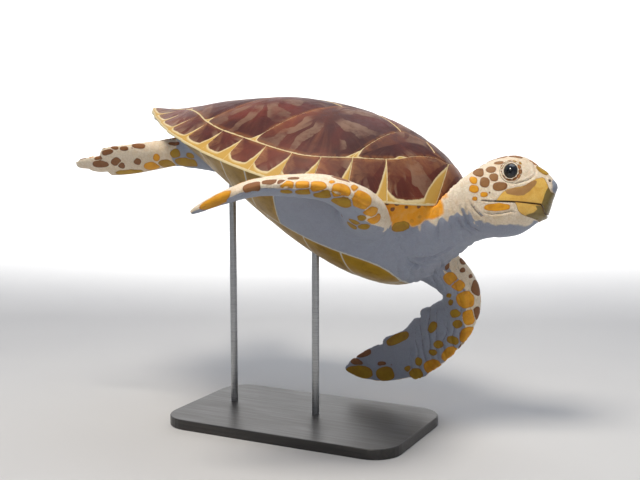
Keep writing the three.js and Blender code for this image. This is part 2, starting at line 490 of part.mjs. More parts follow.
// base: a flat slab with round corners; rods: straight pins up to the plastron
{
  const s = new THREE.Shape(), { x, y, corner: r } = BASE;
  s.moveTo(-x + r, -y); s.lineTo(x - r, -y); s.absarc(x - r, -y + r, r, -Math.PI / 2, 0);
  s.lineTo(x, y - r); s.absarc(x - r, y - r, r, 0, Math.PI / 2);
  s.lineTo(-x + r, y); s.absarc(-x + r, y - r, r, Math.PI / 2, Math.PI);
  s.lineTo(-x, -y + r); s.absarc(-x + r, -y + r, r, Math.PI, 1.5 * Math.PI);
  const g = new THREE.ExtrudeGeometry(s, { depth: BASE.thick - 3, bevelEnabled: true, bevelThickness: 1.5, bevelSize: 1.5, bevelSegments: 1, curveSegments: 4 });
  g.translate(0, 0, 1.5);
  addMesh(part_, 'stand_base', geometryFrom(solidOf(g)), 0x2b2b2d, 0.6, 0);
}
for (const [which, [bx, by]] of Object.entries(RODS)) {
  const foot = new THREE.Vector3(bx, by, bellyZ(bx, by) + PLASTRON_THICK * 0.5).applyMatrix4(world);
  const height = foot.z - BASE.thick - GAP;
  const g = new THREE.CylinderGeometry(ROD_RADIUS, ROD_RADIUS, height, 16);
  g.rotateX(Math.PI / 2); g.translate(foot.x, foot.y, BASE.thick + GAP + height / 2);
  const lowered = pieces.plastron.solid.transform([...new THREE.Matrix4().makeTranslation(0, 0, -GAP).premultiply(world).elements]);
  const flat = pieces.plastron.solid.transform([...world.elements]);
  const rod = widest(solidOf(g).subtract(lowered).subtract(flat));
  addMesh(part_, `stand_rod_${which}`, geometryFrom(rod), 0x9a9c9f, 0.35, 0.9);
}

export default part_;
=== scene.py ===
"""Hawksbill sea turtle, life size, gliding over a plain display stand.

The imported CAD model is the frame. Everything soft is one skin, made from the same
sections as the solids; the scutes, the beak, the eyes and the claws are pieces of
their own that lie on it. Scales and folds are worked into the skin's geometry.
"""
import math
import bpy
import bmesh
import numpy as np
from mathutils import Matrix, Vector


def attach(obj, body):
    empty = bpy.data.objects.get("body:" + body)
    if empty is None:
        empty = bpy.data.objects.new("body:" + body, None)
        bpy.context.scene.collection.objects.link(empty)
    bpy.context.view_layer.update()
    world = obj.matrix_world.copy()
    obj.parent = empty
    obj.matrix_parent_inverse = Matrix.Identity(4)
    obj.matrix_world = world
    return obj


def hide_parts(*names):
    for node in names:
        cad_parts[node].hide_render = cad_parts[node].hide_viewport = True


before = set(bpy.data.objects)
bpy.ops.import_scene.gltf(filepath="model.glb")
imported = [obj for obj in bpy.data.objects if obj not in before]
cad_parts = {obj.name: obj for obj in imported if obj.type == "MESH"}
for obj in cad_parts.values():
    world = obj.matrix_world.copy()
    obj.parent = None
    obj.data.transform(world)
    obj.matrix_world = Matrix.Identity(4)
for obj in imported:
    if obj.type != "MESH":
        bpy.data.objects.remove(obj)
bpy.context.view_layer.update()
VOXEL = 2.9          # mm, the skin's base mesh
PLATE_STEP = 2.5     # mm, grid of the horn plates

# ------------------------------------------------------------------ driving sizes
# Body frame in millimetres: x from the carapace's tail tip (-400) to its front edge
# (+400), y to the animal's left, z up. WORLD turns it into the glide over the stand.
HALF_LENGTH, HALF_WIDTH, DOME_HEIGHT, RIM_DROP, BELLY_DEPTH = 400.0, 298.0, 124.0, 90.0, 214.0
SHELL_THICK, RIM_THICK, PLASTRON_THICK, MARGINAL_WIDTH, BED = 12.0, 7.0, 9.0, 46.0, 2.2
LIFT = np.array([-45.0, 66.0, 592.0])
NOSE_DOWN, BANK = math.radians(14.294), math.radians(-15.202)
HEAD_PITCH, HEAD_AT = math.radians(17.0), (470.0, 35.0)
EYE = dict(xh=25.0, y=41.5, zh=42.0, r=17.0)

_cy, _sy, _cx, _sx = math.cos(NOSE_DOWN), math.sin(NOSE_DOWN), math.cos(BANK), math.sin(BANK)
TURN = np.array([[_cy, 0, _sy], [0, 1, 0], [-_sy, 0, _cy]]) @ np.array([[1, 0, 0], [0, _cx, -_sx], [0, _sx, _cx]])


def to_world(p):
    return (np.asarray(p, float) @ TURN.T + LIFT) * 0.001


# --------------------------------------------------------------------- small maths
def smooth(a, b, v):
    t = np.clip((np.asarray(v, float) - a) / (b - a), 0, 1)
    return t * t * (3 - 2 * t)


def bump(u, a, b):
    w = np.clip(u, 1e-9, 1 - 1e-9)
    p = a / (a + b)
    return (w / p) ** a * ((1 - w) / (1 - p)) ** b


def unit(v):
    v = np.asarray(v, float)
    return v / np.maximum(np.linalg.norm(v, axis=-1, keepdims=True), 1e-12)


def refine(rows, steps):
    rows = np.asarray(rows, float)
    out = []
    for i in range(len(rows) - 1):
        p0, p1, p2, p3 = rows[max(0, i - 1)], rows[i], rows[i + 1], rows[min(len(rows) - 1, i + 2)]
        for k in range(steps):
            t = k / steps
            out.append(0.5 * (2 * p1 + (p2 - p0) * t + (2 * p0 - 5 * p1 + 4 * p2 - p3) * t * t + (3 * p1 - p0 - 3 * p2 + p3) * t ** 3))
    out.append(rows[-1])
    return np.array(out)


def pw(v, n):
    return np.sign(v) * np.abs(v) ** (2.0 / n)


# ------------------------------------------------------------------ shell surfaces
def to_u(x):
    return (HALF_LENGTH - x) / (2 * HALF_LENGTH)


def u_x(u):
    return HALF_LENGTH - 2 * HALF_LENGTH * u


def half_width(u):
    return HALF_WIDTH * bump(u, 0.5, 0.72) * (1 - 0.3 * smooth(0.7, 1, u))


def rim_z(u):
    return -RIM_DROP * bump(u, 0.62, 1.0)


def crown_z(u):
    return DOME_HEIGHT * bump(u, 0.6, 1.12) * (1 - 0.11 * smooth(0.5, 0.74, u)) * (1 - 0.42 * smooth(0.7, 0.98, u))


def keel_z(u):
    return -BELLY_DEPTH * bump(u, 0.33, 1.32)


def dome_at(u, s):
    n = 2.5 - 0.85 * smooth(0.45, 1, u)
    return rim_z(u) + (crown_z(u) - rim_z(u)) * np.maximum(0, 1 - np.abs(s) ** n) ** 1.18


def s_of(x, y):
    return np.clip(y / np.maximum(1e-6, half_width(to_u(x))), -1, 1)


def dome_z(x, y):
    return dome_at(to_u(x), s_of(x, y))


def shell_under(x, y):
    return dome_z(x, y) - SHELL_THICK + (SHELL_THICK - RIM_THICK) * smooth(0.86, 1, np.abs(s_of(x, y)))


FLESH_EDGE = 0.93


def belly_at(u, s):
    edge = dome_at(u, FLESH_EDGE) - SHELL_THICK - BED
    q = np.clip(np.abs(s) / FLESH_EDGE, 0, 1)
    return edge + (keel_z(u) - edge) * (1 - q ** 3) ** 1.15


def belly_z(x, y):
    return belly_at(to_u(x), s_of(x, y))


def rim_point(u):
    return np.stack([u_x(u), half_width(u)], -1)


def seam_point(u):
    u = np.asarray(u, float)
    a, b = rim_point(np.clip(u - 0.004, 0.0005, 0.9995)), rim_point(np.clip(u + 0.004, 0.0005, 0.9995))
    t = unit(b - a)
    n = np.stack([t[..., 1], -t[..., 0]], -1)
    n = np.where(n[..., 1:2] < 0, n, -n)
    w = MARGINAL_WIDTH * (1 + 0.22 * smooth(0.12, 0.3, np.abs(u - 0.47)))
    return rim_point(u) + n * w[..., None]


PL_FRONT, PL_BACK = 0.085, 0.83


def plastron_half(u):
    return 158 * bump(np.clip((u - PL_FRONT) / (PL_BACK - PL_FRONT), 0.0001, 0.9999), 0.32, 0.62)


# ---------------------------------------------------------------------------- lofts
def from_head(xh, zh):
    xh, zh = np.asarray(xh, float), np.asarray(zh, float)
    c, s = math.cos(HEAD_PITCH), math.sin(HEAD_PITCH)
    return HEAD_AT[0] + xh * c - zh * s, HEAD_AT[1] + xh * s + zh * c


def to_head(p):
    """body-frame points as (forward, left, up) of the head"""
    c, s = math.cos(HEAD_PITCH), math.sin(HEAD_PITCH)
    dx, dz = p[..., 0] - HEAD_AT[0], p[..., 2] - HEAD_AT[1]
    return np.stack([dx * c + dz * s, p[..., 1], -dx * s + dz * c], -1)


def head_dir(v):
    """head-frame directions in the body frame"""
    c, s = math.cos(HEAD_PITCH), math.sin(HEAD_PITCH)
    v = np.asarray(v, float)
    return np.stack([v[..., 0] * c - v[..., 2] * s, v[..., 1], v[..., 0] * s + v[..., 2] * c], -1)


# head sections: place along the head, top, bottom, half width
HEAD = [(-30, 74, -86, 78), (-6, 80, -83, 67), (14, 83, -80, 62), (32, 82, -76, 57), (48, 76, -71, 50),
        (62, 66.5, -64, 42), (75, 55, -57, 34), (86, 46, -47, 27), (95, 37, -27, 20.5), (101.5, 30, -5, 14), (106, 24, 12, 6)]
NECK = [(300, -38, 300, -160, 142), (348, 26, 350, -168, 131), (388, 62, 398, -120, 112), (410, 84, 428, -88, 96)]

# limbs: x, y, z, half chord, half thickness, and the upper face's direction
LIMBS = {
    "flipper_front_right": [
        (222, -88, -108, 62, 46, 0, 0, 1), (256, -155, -106, 56, 42, 0, 0, 1), (284, -222, -102, 49, 37, 0, 0, 1),
        (300, -285, -93, 44, 33, -0.1, -0.1, 1), (290, -338, -85, 46, 28, -0.2, -0.2, 0.95), (254, -372, -84, 53, 24, -0.24, -0.2, 0.93),
        (205, -392, -98, 58, 20, -0.24, -0.2, 0.92), (146, -408, -122, 53, 16, -0.24, -0.2, 0.92), (94, -421, -160, 36, 12, -0.24, -0.2, 0.92),
        (62, -429, -190, 17, 8, -0.24, -0.2, 0.92), (48, -432, -204, 5, 4, -0.24, -0.2, 0.92)],
    "flipper_front_left": [
        (250, 80, -118, 60, 46, 0.2, 0.6, 0.6), (320, 118, -128, 52, 44, 0.2, 0.9, 0.3), (372, 146, -146, 44, 38, 0.2, 1, 0.1),
        (404, 184, -180, 44, 30, 0.1, 1, 0.1), (390, 214, -234, 62, 24, 0, 1, 0.1), (357, 234, -293, 68, 18, 0, 1, 0.2),
        (316, 247, -343, 65, 14, 0, 1, 0.25), (270, 256, -385, 54, 11, 0, 1, 0.25), (226, 262, -408, 37, 8.5, 0, 1, 0.25),
        (191, 265, -424, 19, 6, 0, 1, 0.25), (174, 266, -432, 6, 3.5, 0, 1, 0.25)],
    "flipper_hind_right": [
        (-120, -84, -66, 44, 34, 0.2, 0.4, 0.9), (-186, -98, -77, 42, 29, 0.1, 0.45, 0.85), (-246, -108, -97, 38, 23, 0, 0.5, 0.8),
        (-300, -116, -123, 40, 17, 0, 0.5, 0.8), (-350, -121, -147, 44, 13, 0, 0.5, 0.8), (-396, -124, -167, 42, 10, 0, 0.5, 0.8),
        (-434, -127, -181, 28, 7, 0, 0.5, 0.8), (-455, -129, -188, 8, 4, 0, 0.5, 0.8)],
    "flipper_hind_left": [
        (-120, 84, -66, 44, 32, 0, 0, 1), (-176, 138, -66, 42, 28, 0, 0, 1), (-222, 196, -62, 42, 22, 0, 0, 1),
        (-262, 246, -58, 46, 16, 0, 0, 1), (-296, 290, -54, 48, 12, 0, 0, 1), (-326, 328, -50, 44, 9, 0, 0, 1),
        (-348, 356, -48, 28, 6, 0, 0, 1), (-358, 370, -47, 9, 4, 0, 0, 1)],
    "tail": [
        (-240, 0, -62, 36, 27, 0, 0, 1), (-290, 0, -68, 28, 22, 0, 0, 1), (-325, 0, -74, 19, 15, 0, 0, 1),
        (-352, 0, -80, 11, 9, 0, 0, 1), (-370, 0, -85, 4, 4, 0, 0, 1)],
}


def upright_rings(rows, count, n=2.3):
    """rings between a top and a bottom point in the x-z plane, so wide across"""
    a = 2 * math.pi * np.arange(count) / count
    c, s = pw(np.cos(a), n), pw(np.sin(a), n)
    r = np.asarray(rows, float)
    mid, up = (r[:, 0:2] + r[:, 2:4]) / 2, (r[:, 0:2] - r[:, 2:4]) / 2
    x = mid[:, 0:1] + up[:, 0:1] * s
    z = mid[:, 1:2] + up[:, 1:2] * s
    return np.stack([x, r[:, 4:5] * c, z], -1)


def head_rows():
    rows = [list(r) for r in NECK]
    for xh, t, b, hw in HEAD:
        T, B = from_head(xh, t), from_head(xh, b)
        rows.append([float(T[0]), float(T[1]), float(B[0]), float(B[1]), hw])
    return rows


class Limb:
    """A loft's frames, finely spaced: place, direction, upper face, chord and half sizes."""

    def __init__(self, rows, steps):
        r = refine(rows, steps)
        self.p = r[:, :3]
        t = np.empty_like(self.p)
        t[1:-1] = self.p[2:] - self.p[:-2]
        t[0], t[-1] = self.p[1] - self.p[0], self.p[-1] - self.p[-2]
        self.t = unit(t)
        n = r[:, 5:8]
        self.n = unit(n - (n * self.t).sum(1)[:, None] * self.t)
        self.c = unit(np.cross(self.n, self.t))
        self.hc, self.ht = r[:, 3], r[:, 4]
        d = np.r_[0, np.cumsum(np.linalg.norm(np.diff(self.p, axis=0), axis=1))]
        self.length, self.w = d[-1], d / d[-1]

    def rings(self, count):
        a = 2 * math.pi * np.arange(count) / count
        return self.p[:, None] + self.c[:, None] * (self.hc[:, None] * np.cos(a))[..., None] + self.n[:, None] * (self.ht[:, None] * np.sin(a))[..., None]

    def at(self, w, deg):
        """point and outward normal at a share of the length and an angle round the section"""
        i = np.interp(w, self.w, np.arange(len(self.w)))
        k = min(int(i), len(self.w) - 2)
        f = i - k
        mix = lambda v: v[k] * (1 - f) + v[k + 1] * f
        a = math.radians(deg)
        p, t, n, c, hc, ht = mix(self.p), unit(mix(self.t)), unit(mix(self.n)), unit(mix(self.c)), mix(self.hc), mix(self.ht)
        return p + c * hc * math.cos(a) + n * ht * math.sin(a), unit(c * math.cos(a) / hc + n * math.sin(a) / ht), t


def noise3(p, seed=0):
    """smooth value noise in -1..1"""
    p = np.asarray(p, float)
    i = np.floor(p).astype(np.int64)
    f = p - i
    f = f * f * (3 - 2 * f)

    def h(dx, dy, dz):
        n = ((i[..., 0] + dx) * 374761393 + (i[..., 1] + dy) * 668265263 + (i[..., 2] + dz) * 974634777 + seed * 144269) & 0xFFFFFFFF
        n = ((n ^ (n >> 13)) * 1274126177) & 0xFFFFFFFF
        return ((n ^ (n >> 16)) & 0xFFFF) / 32767.5 - 1

    fx, fy, fz = f[..., 0], f[..., 1], f[..., 2]
    a = (h(0, 0, 0) * (1 - fx) + h(1, 0, 0) * fx) * (1 - fy) + (h(0, 1, 0) * (1 - fx) + h(1, 1, 0) * fx) * fy
    b = (h(0, 0, 1) * (1 - fx) + h(1, 0, 1) * fx) * (1 - fy) + (h(0, 1, 1) * (1 - fx) + h(1, 1, 1) * fx) * fy
    return a * (1 - fz) + b * fz


def fbm(p, octaves=3, seed=0):
    out, amp, total = 0, 1.0, 0
    for k in range(octaves):
        out = out + amp * noise3(np.asarray(p) * 2 ** k, seed + k)
        total += amp
        amp *= 0.5
    return out / total


def line_gap(x, z, line):
    """distance in a plane to an open line"""
    P = np.asarray(line, float)
    best = np.full(np.shape(x), 1e9)
    for (x0, z0), (x1, z1) in zip(P[:-1], P[1:]):
        ex, ez = x1 - x0, z1 - z0
        t = np.clip(((x - x0) * ex + (z - z0) * ez) / (ex * ex + ez * ez), 0, 1)
        best = np.minimum(best, np.hypot(x - x0 - t * ex, z - z0 - t * ez))
    return best


# ------------------------------------------------------------------- mesh plumbing
def raw_mesh(name, verts, faces):
    """a mesh from points and a list of index arrays, one per face size"""
    me = bpy.data.meshes.new(name)
    faces = [np.asarray(f, np.int32) for f in faces if len(f)]
    loops = np.concatenate([f.ravel() for f in faces])
    sizes = np.concatenate([np.full(len(f), f.shape[1], np.int32) for f in faces])
    starts = np.r_[0, np.cumsum(sizes)[:-1]].astype(np.int32)
    me.vertices.add(len(verts))
    me.vertices.foreach_set("co", np.ascontiguousarray(verts, np.float32).ravel())
    me.loops.add(len(loops))
    me.loops.foreach_set("vertex_index", loops)
    me.polygons.add(len(sizes))
    me.polygons.foreach_set("loop_start", starts)
    me.update(calc_edges=True)
    return me


def triangles_of(faces):
    out = []
    for f in faces:
        f = np.asarray(f)
        for k in range(1, f.shape[1] - 1):
            out.append(np.stack([f[:, 0], f[:, k], f[:, k + 1]], -1))
    return np.concatenate(out)


def volume_of(v, faces):
    t = triangles_of(faces)
    return (np.cross(v[t[:, 0]], v[t[:, 1]]) * v[t[:, 2]]).sum() / 6


def outward(v, faces):
    return [np.asarray(f)[:, ::-1] for f in faces] if volume_of(v, faces) < 0 else [np.asarray(f) for f in faces]


def rings_faces(R, N, cap0, cap1):
    idx = np.arange(R * N).reshape(R, N)
    a, b, c, d = idx[:-1], np.roll(idx, -1, 1)[:-1], idx[1:], np.roll(idx, -1, 1)[1:]
    quads = np.stack([a, b, d, c], -1).reshape(-1, 4)
    i = np.arange(N)
    j = (i + 1) % N
    tris = np.concatenate([np.stack([np.full(N, cap0), j, i], -1), np.stack([np.full(N, cap1), idx[-1, 0] + i, idx[-1, 0] + j], -1)])
    return [quads, tris]


def closed_rings(rings):
    R, N = rings.shape[:2]
    v = np.concatenate([rings.reshape(-1, 3), rings[0].mean(0)[None], rings[-1].mean(0)[None]])
    faces = rings_faces(R, N, R * N, R * N + 1)
    return v, outward(v, faces)


def link(me, name):
    o = bpy.data.objects.new(name, me)
    bpy.context.scene.collection.objects.link(o)
    return o


def piece(name, verts, faces, material, replaces=(), points=None, colours=None, flat=False, world=True):
    """a finished piece in the row frame, with its per-point values for the material"""
    me = raw_mesh(name, to_world(verts) if world else np.asarray(verts) * 0.001, faces)
    for key, val in (points or {}).items():
        me.attributes.new(key, "FLOAT", "POINT").data.foreach_set("value", np.ascontiguousarray(val, np.float32))
    for key, val in (colours or {}).items():
        val = np.asarray(val, np.float32)
        if val.shape[1] == 3:
            me.attributes.new(key, "FLOAT_VECTOR", "POINT").data.foreach_set("vector", np.ascontiguousarray(val).ravel())
    if not flat:
        me.polygons.foreach_set("use_smooth", np.ones(len(me.polygons), bool))
    me.materials.append(material)
    o = link(me, name)
    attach(o, "root")
    if replaces:
        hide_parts(*replaces)
    return o


def vertex_normals(v, faces):
    n = np.zeros_like(v)
    for f in faces:
        if not len(f):
            continue
        if f.shape[1] == 4:
            fn = np.cross(v[f[:, 2]] - v[f[:, 0]], v[f[:, 3]] - v[f[:, 1]])
        else:
            fn = np.cross(v[f[:, 1]] - v[f[:, 0]], v[f[:, 2]] - v[f[:, 0]])
        for k in range(f.shape[1]):
            for c in range(3):
                n[:, c] += np.bincount(f[:, k], fn[:, c], len(v))
    return unit(n)


class Net:
    """neighbour sums for smoothing"""

    def __init__(self, edges, count):
        self.a, self.b, self.n = edges[:, 0], edges[:, 1], count
        self.deg = np.maximum(np.bincount(self.a, minlength=count) + np.bincount(self.b, minlength=count), 1)

    def mean(self, v):
        if v.ndim == 1:
            return (np.bincount(self.a, v[self.b], self.n) + np.bincount(self.b, v[self.a], self.n)) / self.deg
        return np.stack([self.mean(v[:, k]) for k in range(v.shape[1])], -1)

    def taubin(self, v, rounds, w=None):
        w = 1.0 if w is None else w[:, None]
        for _ in range(rounds):
            v = v + 0.5 * w * (self.mean(v) - v)
            v = v - 0.53 * w * (self.mean(v) - v)
        return v


def mesh_arrays(me):
    v = np.zeros(len(me.vertices) * 3, np.float32)
    me.vertices.foreach_get("co", v)
    e = np.zeros(len(me.edges) * 2, np.int32)
    me.edges.foreach_get("vertices", e)
    s = np.zeros(len(me.polygons), np.int32)
    me.polygons.foreach_get("loop_start", s)
    t = np.zeros(len(me.polygons), np.int32)
    me.polygons.foreach_get("loop_total", t)
    l = np.zeros(len(me.loops), np.int32)
    me.loops.foreach_get("vertex_index", l)
    faces = []
    for k in np.unique(t):
        st = s[t == k]
        faces.append(l[st[:, None] + np.arange(k)[None]])
    return v.reshape(-1, 3).astype(float), e.reshape(-1, 2), faces


def evaluated(o):
    dg = bpy.context.evaluated_depsgraph_get()
    return bpy.data.meshes.new_from_object(o.evaluated_get(dg))


def drop(*objects):
    for o in objects:
        me = o.data
        bpy.data.objects.remove(o)
        if me and me.users == 0:
            bpy.data.meshes.remove(me)


# --------------------------------------------------------------------- horn plates
def spaced(length, step=None, fine=(0, 0.45, 1.0, 1.7, 2.6, 4.0)):
    """shares of a length: close together near both ends, even between"""
    step = step or PLATE_STEP
    f = [x for x in fine if x < length * 0.3]
    if len(f) < 2:
        return np.linspace(0, 1, 4)
    inner = length - 2 * f[-1]
    mid = np.linspace(f[-1], length - f[-1], max(2, int(round(inner / step)) + 1))
    return np.r_[f[:-1], mid, length - np.array(f[:-1])[::-1]] / length


def run_length(line):
    return float(np.linalg.norm(np.diff(np.asarray(line, float), axis=0), axis=1).sum())


def line_at(line, ts):
    """points at shares of a polyline's length; its sharp corners are kept"""
    line = np.asarray(line, float)
    seg = np.linalg.norm(np.diff(line, axis=0), axis=1)
    cum = np.r_[0, np.cumsum(seg)] / max(seg.sum(), 1e-9)
    out = np.stack([np.interp(ts, cum, line[:, k]) for k in range(2)], -1)
    for c in range(1, len(line) - 1):
        a, b = unit(line[c] - line[c - 1]), unit(line[c + 1] - line[c])
        if a @ b < 0.985:
            j = 1 + int(np.argmin(np.abs(ts[1:-1] - cum[c])))
            out[j] = line[c]
    return out


def outline_distance(pts, outline):
    """distance to a closed outline, and the outward direction's x and y there"""
    a, b = outline, np.roll(outline, -1, 0)
    ab = b - a
    L2 = np.maximum((ab ** 2).sum(1), 1e-12)
    best = np.full(len(pts), 1e9)
    which = np.zeros(len(pts), int)
    for k in range(len(a)):
        t = np.clip(((pts - a[k]) @ ab[k]) / L2[k], 0, 1)
        d = np.hypot(pts[:, 0] - a[k, 0] - t * ab[k, 0], pts[:, 1] - a[k, 1] - t * ab[k, 1])
        m = d < best
        best[m], which[m] = d[m], k
    area = (a[:, 0] * b[:, 1] - b[:, 0] * a[:, 1]).sum()
    n = unit(np.stack([ab[:, 1], -ab[:, 0]], -1)) * np.sign(area)
    return best, n[which], which


def plate_grid(south, east, north, west, step=None, gap=0.3):
    """a four-sided patch in plan: its points, quads, border loop and distances"""
    a = spaced((run_length(south) + run_length(north)) / 2, step)
    b = spaced((run_length(west) + run_length(east)) / 2, step)
    S, N, W, E = line_at(south, a), line_at(north, a), line_at(west, b), line_at(east, b)
    A, B = a[None, :, None], b[:, None, None]
    plan = ((1 - B) * S[None] + B * N[None] + (1 - A) * W[:, None] + A * E[:, None]
            - ((1 - A) * (1 - B) * S[0] + A * (1 - B) * S[-1] + (1 - A) * B * N[0] + A * B * N[-1]))
    nb, na = plan.shape[:2]
    idx = np.arange(na * nb).reshape(nb, na)
    quads = np.stack([idx[:-1, :-1], idx[:-1, 1:], idx[1:, 1:], idx[1:, :-1]], -1).reshape(-1, 4)
    border = np.r_[idx[0, :-1], idx[:-1, -1], idx[-1, :0:-1], idx[:0:-1, 0]]
    true = plan.reshape(-1, 2).copy()
    sides = [np.asarray(x, float) for x in (south, east, north[::-1], west[::-1])]
    outline = np.concatenate([s[:-1] for s in sides])
    dist, nrm, _ = outline_distance(true, outline)
    pull = plan.copy()
    for (bi, ii) in (((0, slice(None)), (1, slice(None))), ((-1, slice(None)), (-2, slice(None))), ((slice(None), 0), (slice(None), 1)), ((slice(None), -1), (slice(None), -2))):
        pull[bi] = pull[bi] + unit(plan[ii] - plan[bi]) * gap
    return pull.reshape(-1, 2), true, quads, border, dist, nrm, (A, B, na, nb), outline


def round_off(d, r):
    """how far a rounded edge of radius r has dropped at a distance d from the edge"""
    t = np.clip(d / r, 0, 1)
    return r * (1 - np.sqrt(np.clip(1 - (1 - t) ** 2, 0, 1)))


def scute(south, east, north, west, top, under, centre, seed, step=None, bevel=2.0, pillow=0.8, lift=1.1, rim=None, rim_round=3.2, steps_out=0):
    """one scute: points, faces and values. centre is the growth centre in plan; rim marks the free outer side."""
    pull, true, quads, border, dist, nrm, _, outline = plate_grid(south, east, north, west, step)
    x, y = true[:, 0], true[:, 1]
    rearness = np.clip(-nrm[:, 0], 0, 1)
    rise = pillow * smooth(0, 26, dist) + lift * rearness * np.exp(-dist / 7.0) - 0.6 * lift * np.clip(nrm[:, 0], 0, 1) * np.exp(-dist / 9.0)
    rings = 0.16 * np.sin(dist / 3.1 + 1.3 * noise3(np.stack([x, y, x * 0], -1) / 40.0, seed)) * smooth(1.5, 8, dist) * smooth(60, 20, dist)
    ztop = top(x, y) + rise + rings + 0.35 * fbm(np.stack([x, y, x * 0 + seed], -1) / 34.0, 3, seed)
    zund = under(x, y)
    cut = round_off(dist, bevel)
    if rim is not None:
        dr = outline_distance(true, np.asarray(rim, float)[[*range(len(rim)), *range(len(rim) - 2, 0, -1)]])[0]
        near = dr < dist + 0.05
        cut = np.where(near, round_off(dr, rim_round), cut)
        zund = zund + round_off(dr, rim_round * 0.9)
        ztop = ztop - 0.5 * np.exp(-dr / 5.0)
    ztop = ztop - cut
    zund = np.minimum(zund, ztop - 0.8)
    v = np.concatenate([np.c_[pull, ztop], np.c_[pull, zund]])
    o = len(pull)
    b2 = np.roll(border, -1)
    walls = np.stack([border, border + o, b2 + o, b2], -1)
    faces = outward(v, [np.concatenate([quads, quads[:, ::-1] + o, walls])])
    d = true - np.asarray(centre)
    r = np.hypot(d[:, 0], d[:, 1])
    ang = np.arctan2(d[:, 1], d[:, 0])
    ray = np.c_[np.cos(ang), np.sin(ang), r / 100.0]
    vals = dict(edge=np.r_[dist, dist], under=np.r_[np.zeros(o), np.ones(o)], seed=np.full(2 * o, (seed * 0.6180339) % 1.0),
                rear=np.r_[rearness, rearness] * np.exp(-np.r_[dist, dist] / 25.0))
    return v, faces[0], vals, np.r_[ray, ray], true


def merge(parts):
    vs, fs, off = [], [], 0
    vals, rays = {}, []
    for v, f, val, ray in parts:
        vs.append(v)
        fs.append(f + off)
        off += len(v)
        rays.append(ray)
        for k in val:
            vals.setdefault(k, []).append(val[k])
    return np.concatenate(vs), [np.concatenate(fs)], {k: np.concatenate(x) for k, x in vals.items()}, np.concatenate(rays)


def span(f, a, b, n):
    return f(np.linspace(a, b, n + 1))


def flip(line):
    return np.asarray(line, float) * np.array([1, -1])


# ----------------------------------------------------------------------- materials
def lin(r, g, b):
    f = lambda c: c / 12.92 if c <= 0.04045 else ((c + 0.055) / 1.055) ** 2.4
    return (f(r / 255), f(g / 255), f(b / 255), 1.0)


class Shade:
    """a small builder for node materials"""

    def __init__(self, name):
        self.m = bpy.data.materials.new(name)
        self.m.use_nodes = True
        self.t = self.m.node_tree
        self.t.nodes.clear()
        self.out = self.t.nodes.new("ShaderNodeOutputMaterial")
        self.b = self.t.nodes.new("ShaderNodeBsdfPrincipled")
        self.t.links.new(self.b.outputs[0], self.out.inputs[0])
        self.pos = self.add("ShaderNodeTexCoord").outputs["Object"]

    def add(self, kind, inputs=None, **props):
        n = self.t.nodes.new(kind)
        for k, v in props.items():
            setattr(n, k, v)
        for k, v in (inputs or {}).items():
            self.put(n.inputs[k], v)
        return n

    def put(self, socket, v):
        if isinstance(v, bpy.types.NodeSocket):
            self.t.links.new(v, socket)
        else:
            socket.default_value = v

    def attr(self, name, vector=False):
        n = self.add("ShaderNodeAttribute", attribute_name=name)
        return n.outputs["Vector"] if vector else n.outputs["Fac"]

    def math(self, op, a, b=0.0, c=0.0, clamp=False):
        n = self.add("ShaderNodeMath", operation=op, use_clamp=clamp)
        self.put(n.inputs[0], a)
        self.put(n.inputs[1], b)
        self.put(n.inputs[2], c)
        return n.outputs[0]

    def step(self, v, lo, hi, a=0.0, b=1.0):
        """smooth ramp from a to b as v goes from lo to hi"""
        n = self.add("ShaderNodeMapRange", interpolation_type="SMOOTHSTEP")
        self.put(n.inputs["Value"], v)
        if lo > hi:
            lo, hi, a, b = hi, lo, b, a
        for k, x in (("From Min", lo), ("From Max", hi), ("To Min", a), ("To Max", b)):
            n.inputs[k].default_value = x
        return n.outputs[0]

    def mix(self, f, a, b, mode="MIX"):
        n = self.add("ShaderNodeMix", data_type="RGBA", blend_type=mode)
        self.put(n.inputs[0], f)
        self.put(n.inputs[6], a)
        self.put(n.inputs[7], b)
        return n.outputs[2]

    def scale(self, v, k):
        n = self.add("ShaderNodeVectorMath", operation="MULTIPLY")
        self.put(n.inputs[0], v)
        n.inputs[1].default_value = k if hasattr(k, "__len__") else (k, k, k)
        return n.outputs[0]

    def noise(self, scale, detail=4.0, rough=0.55, vec=None, warp=0.0):
        n = self.add("ShaderNodeTexNoise")
        self.put(n.inputs["Vector"], vec if vec is not None else self.pos)
        n.inputs["Scale"].default_value = scale
        n.inputs["Detail"].default_value = detail
        n.inputs["Roughness"].default_value = rough
        n.inputs["Distortion"].default_value = warp
        return n.outputs["Fac"]

    def cells(self, scale, feature="DISTANCE_TO_EDGE", vec=None, rand=1.0):
        n = self.add("ShaderNodeTexVoronoi", feature=feature)
        self.put(n.inputs["Vector"], vec if vec is not None else self.pos)
        n.inputs["Scale"].default_value = scale
        n.inputs["Randomness"].default_value = rand
        return n

    def bump(self, height, strength, distance, normal=None):
        n = self.add("ShaderNodeBump")
        n.inputs["Strength"].default_value = strength
        n.inputs["Distance"].default_value = distance
        self.put(n.inputs["Height"], height)
        if normal is not None:
            self.put(n.inputs["Normal"], normal)
        return n.outputs[0]

    def done(self, colour, rough, normal=None, **consts):
        self.put(self.b.inputs["Base Color"], colour)
        self.put(self.b.inputs["Roughness"], rough)
        if normal is not None:
            self.put(self.b.inputs["Normal"], normal)
        for k, v in consts.items():
            self.b.inputs[k].default_value = v
        return self.m


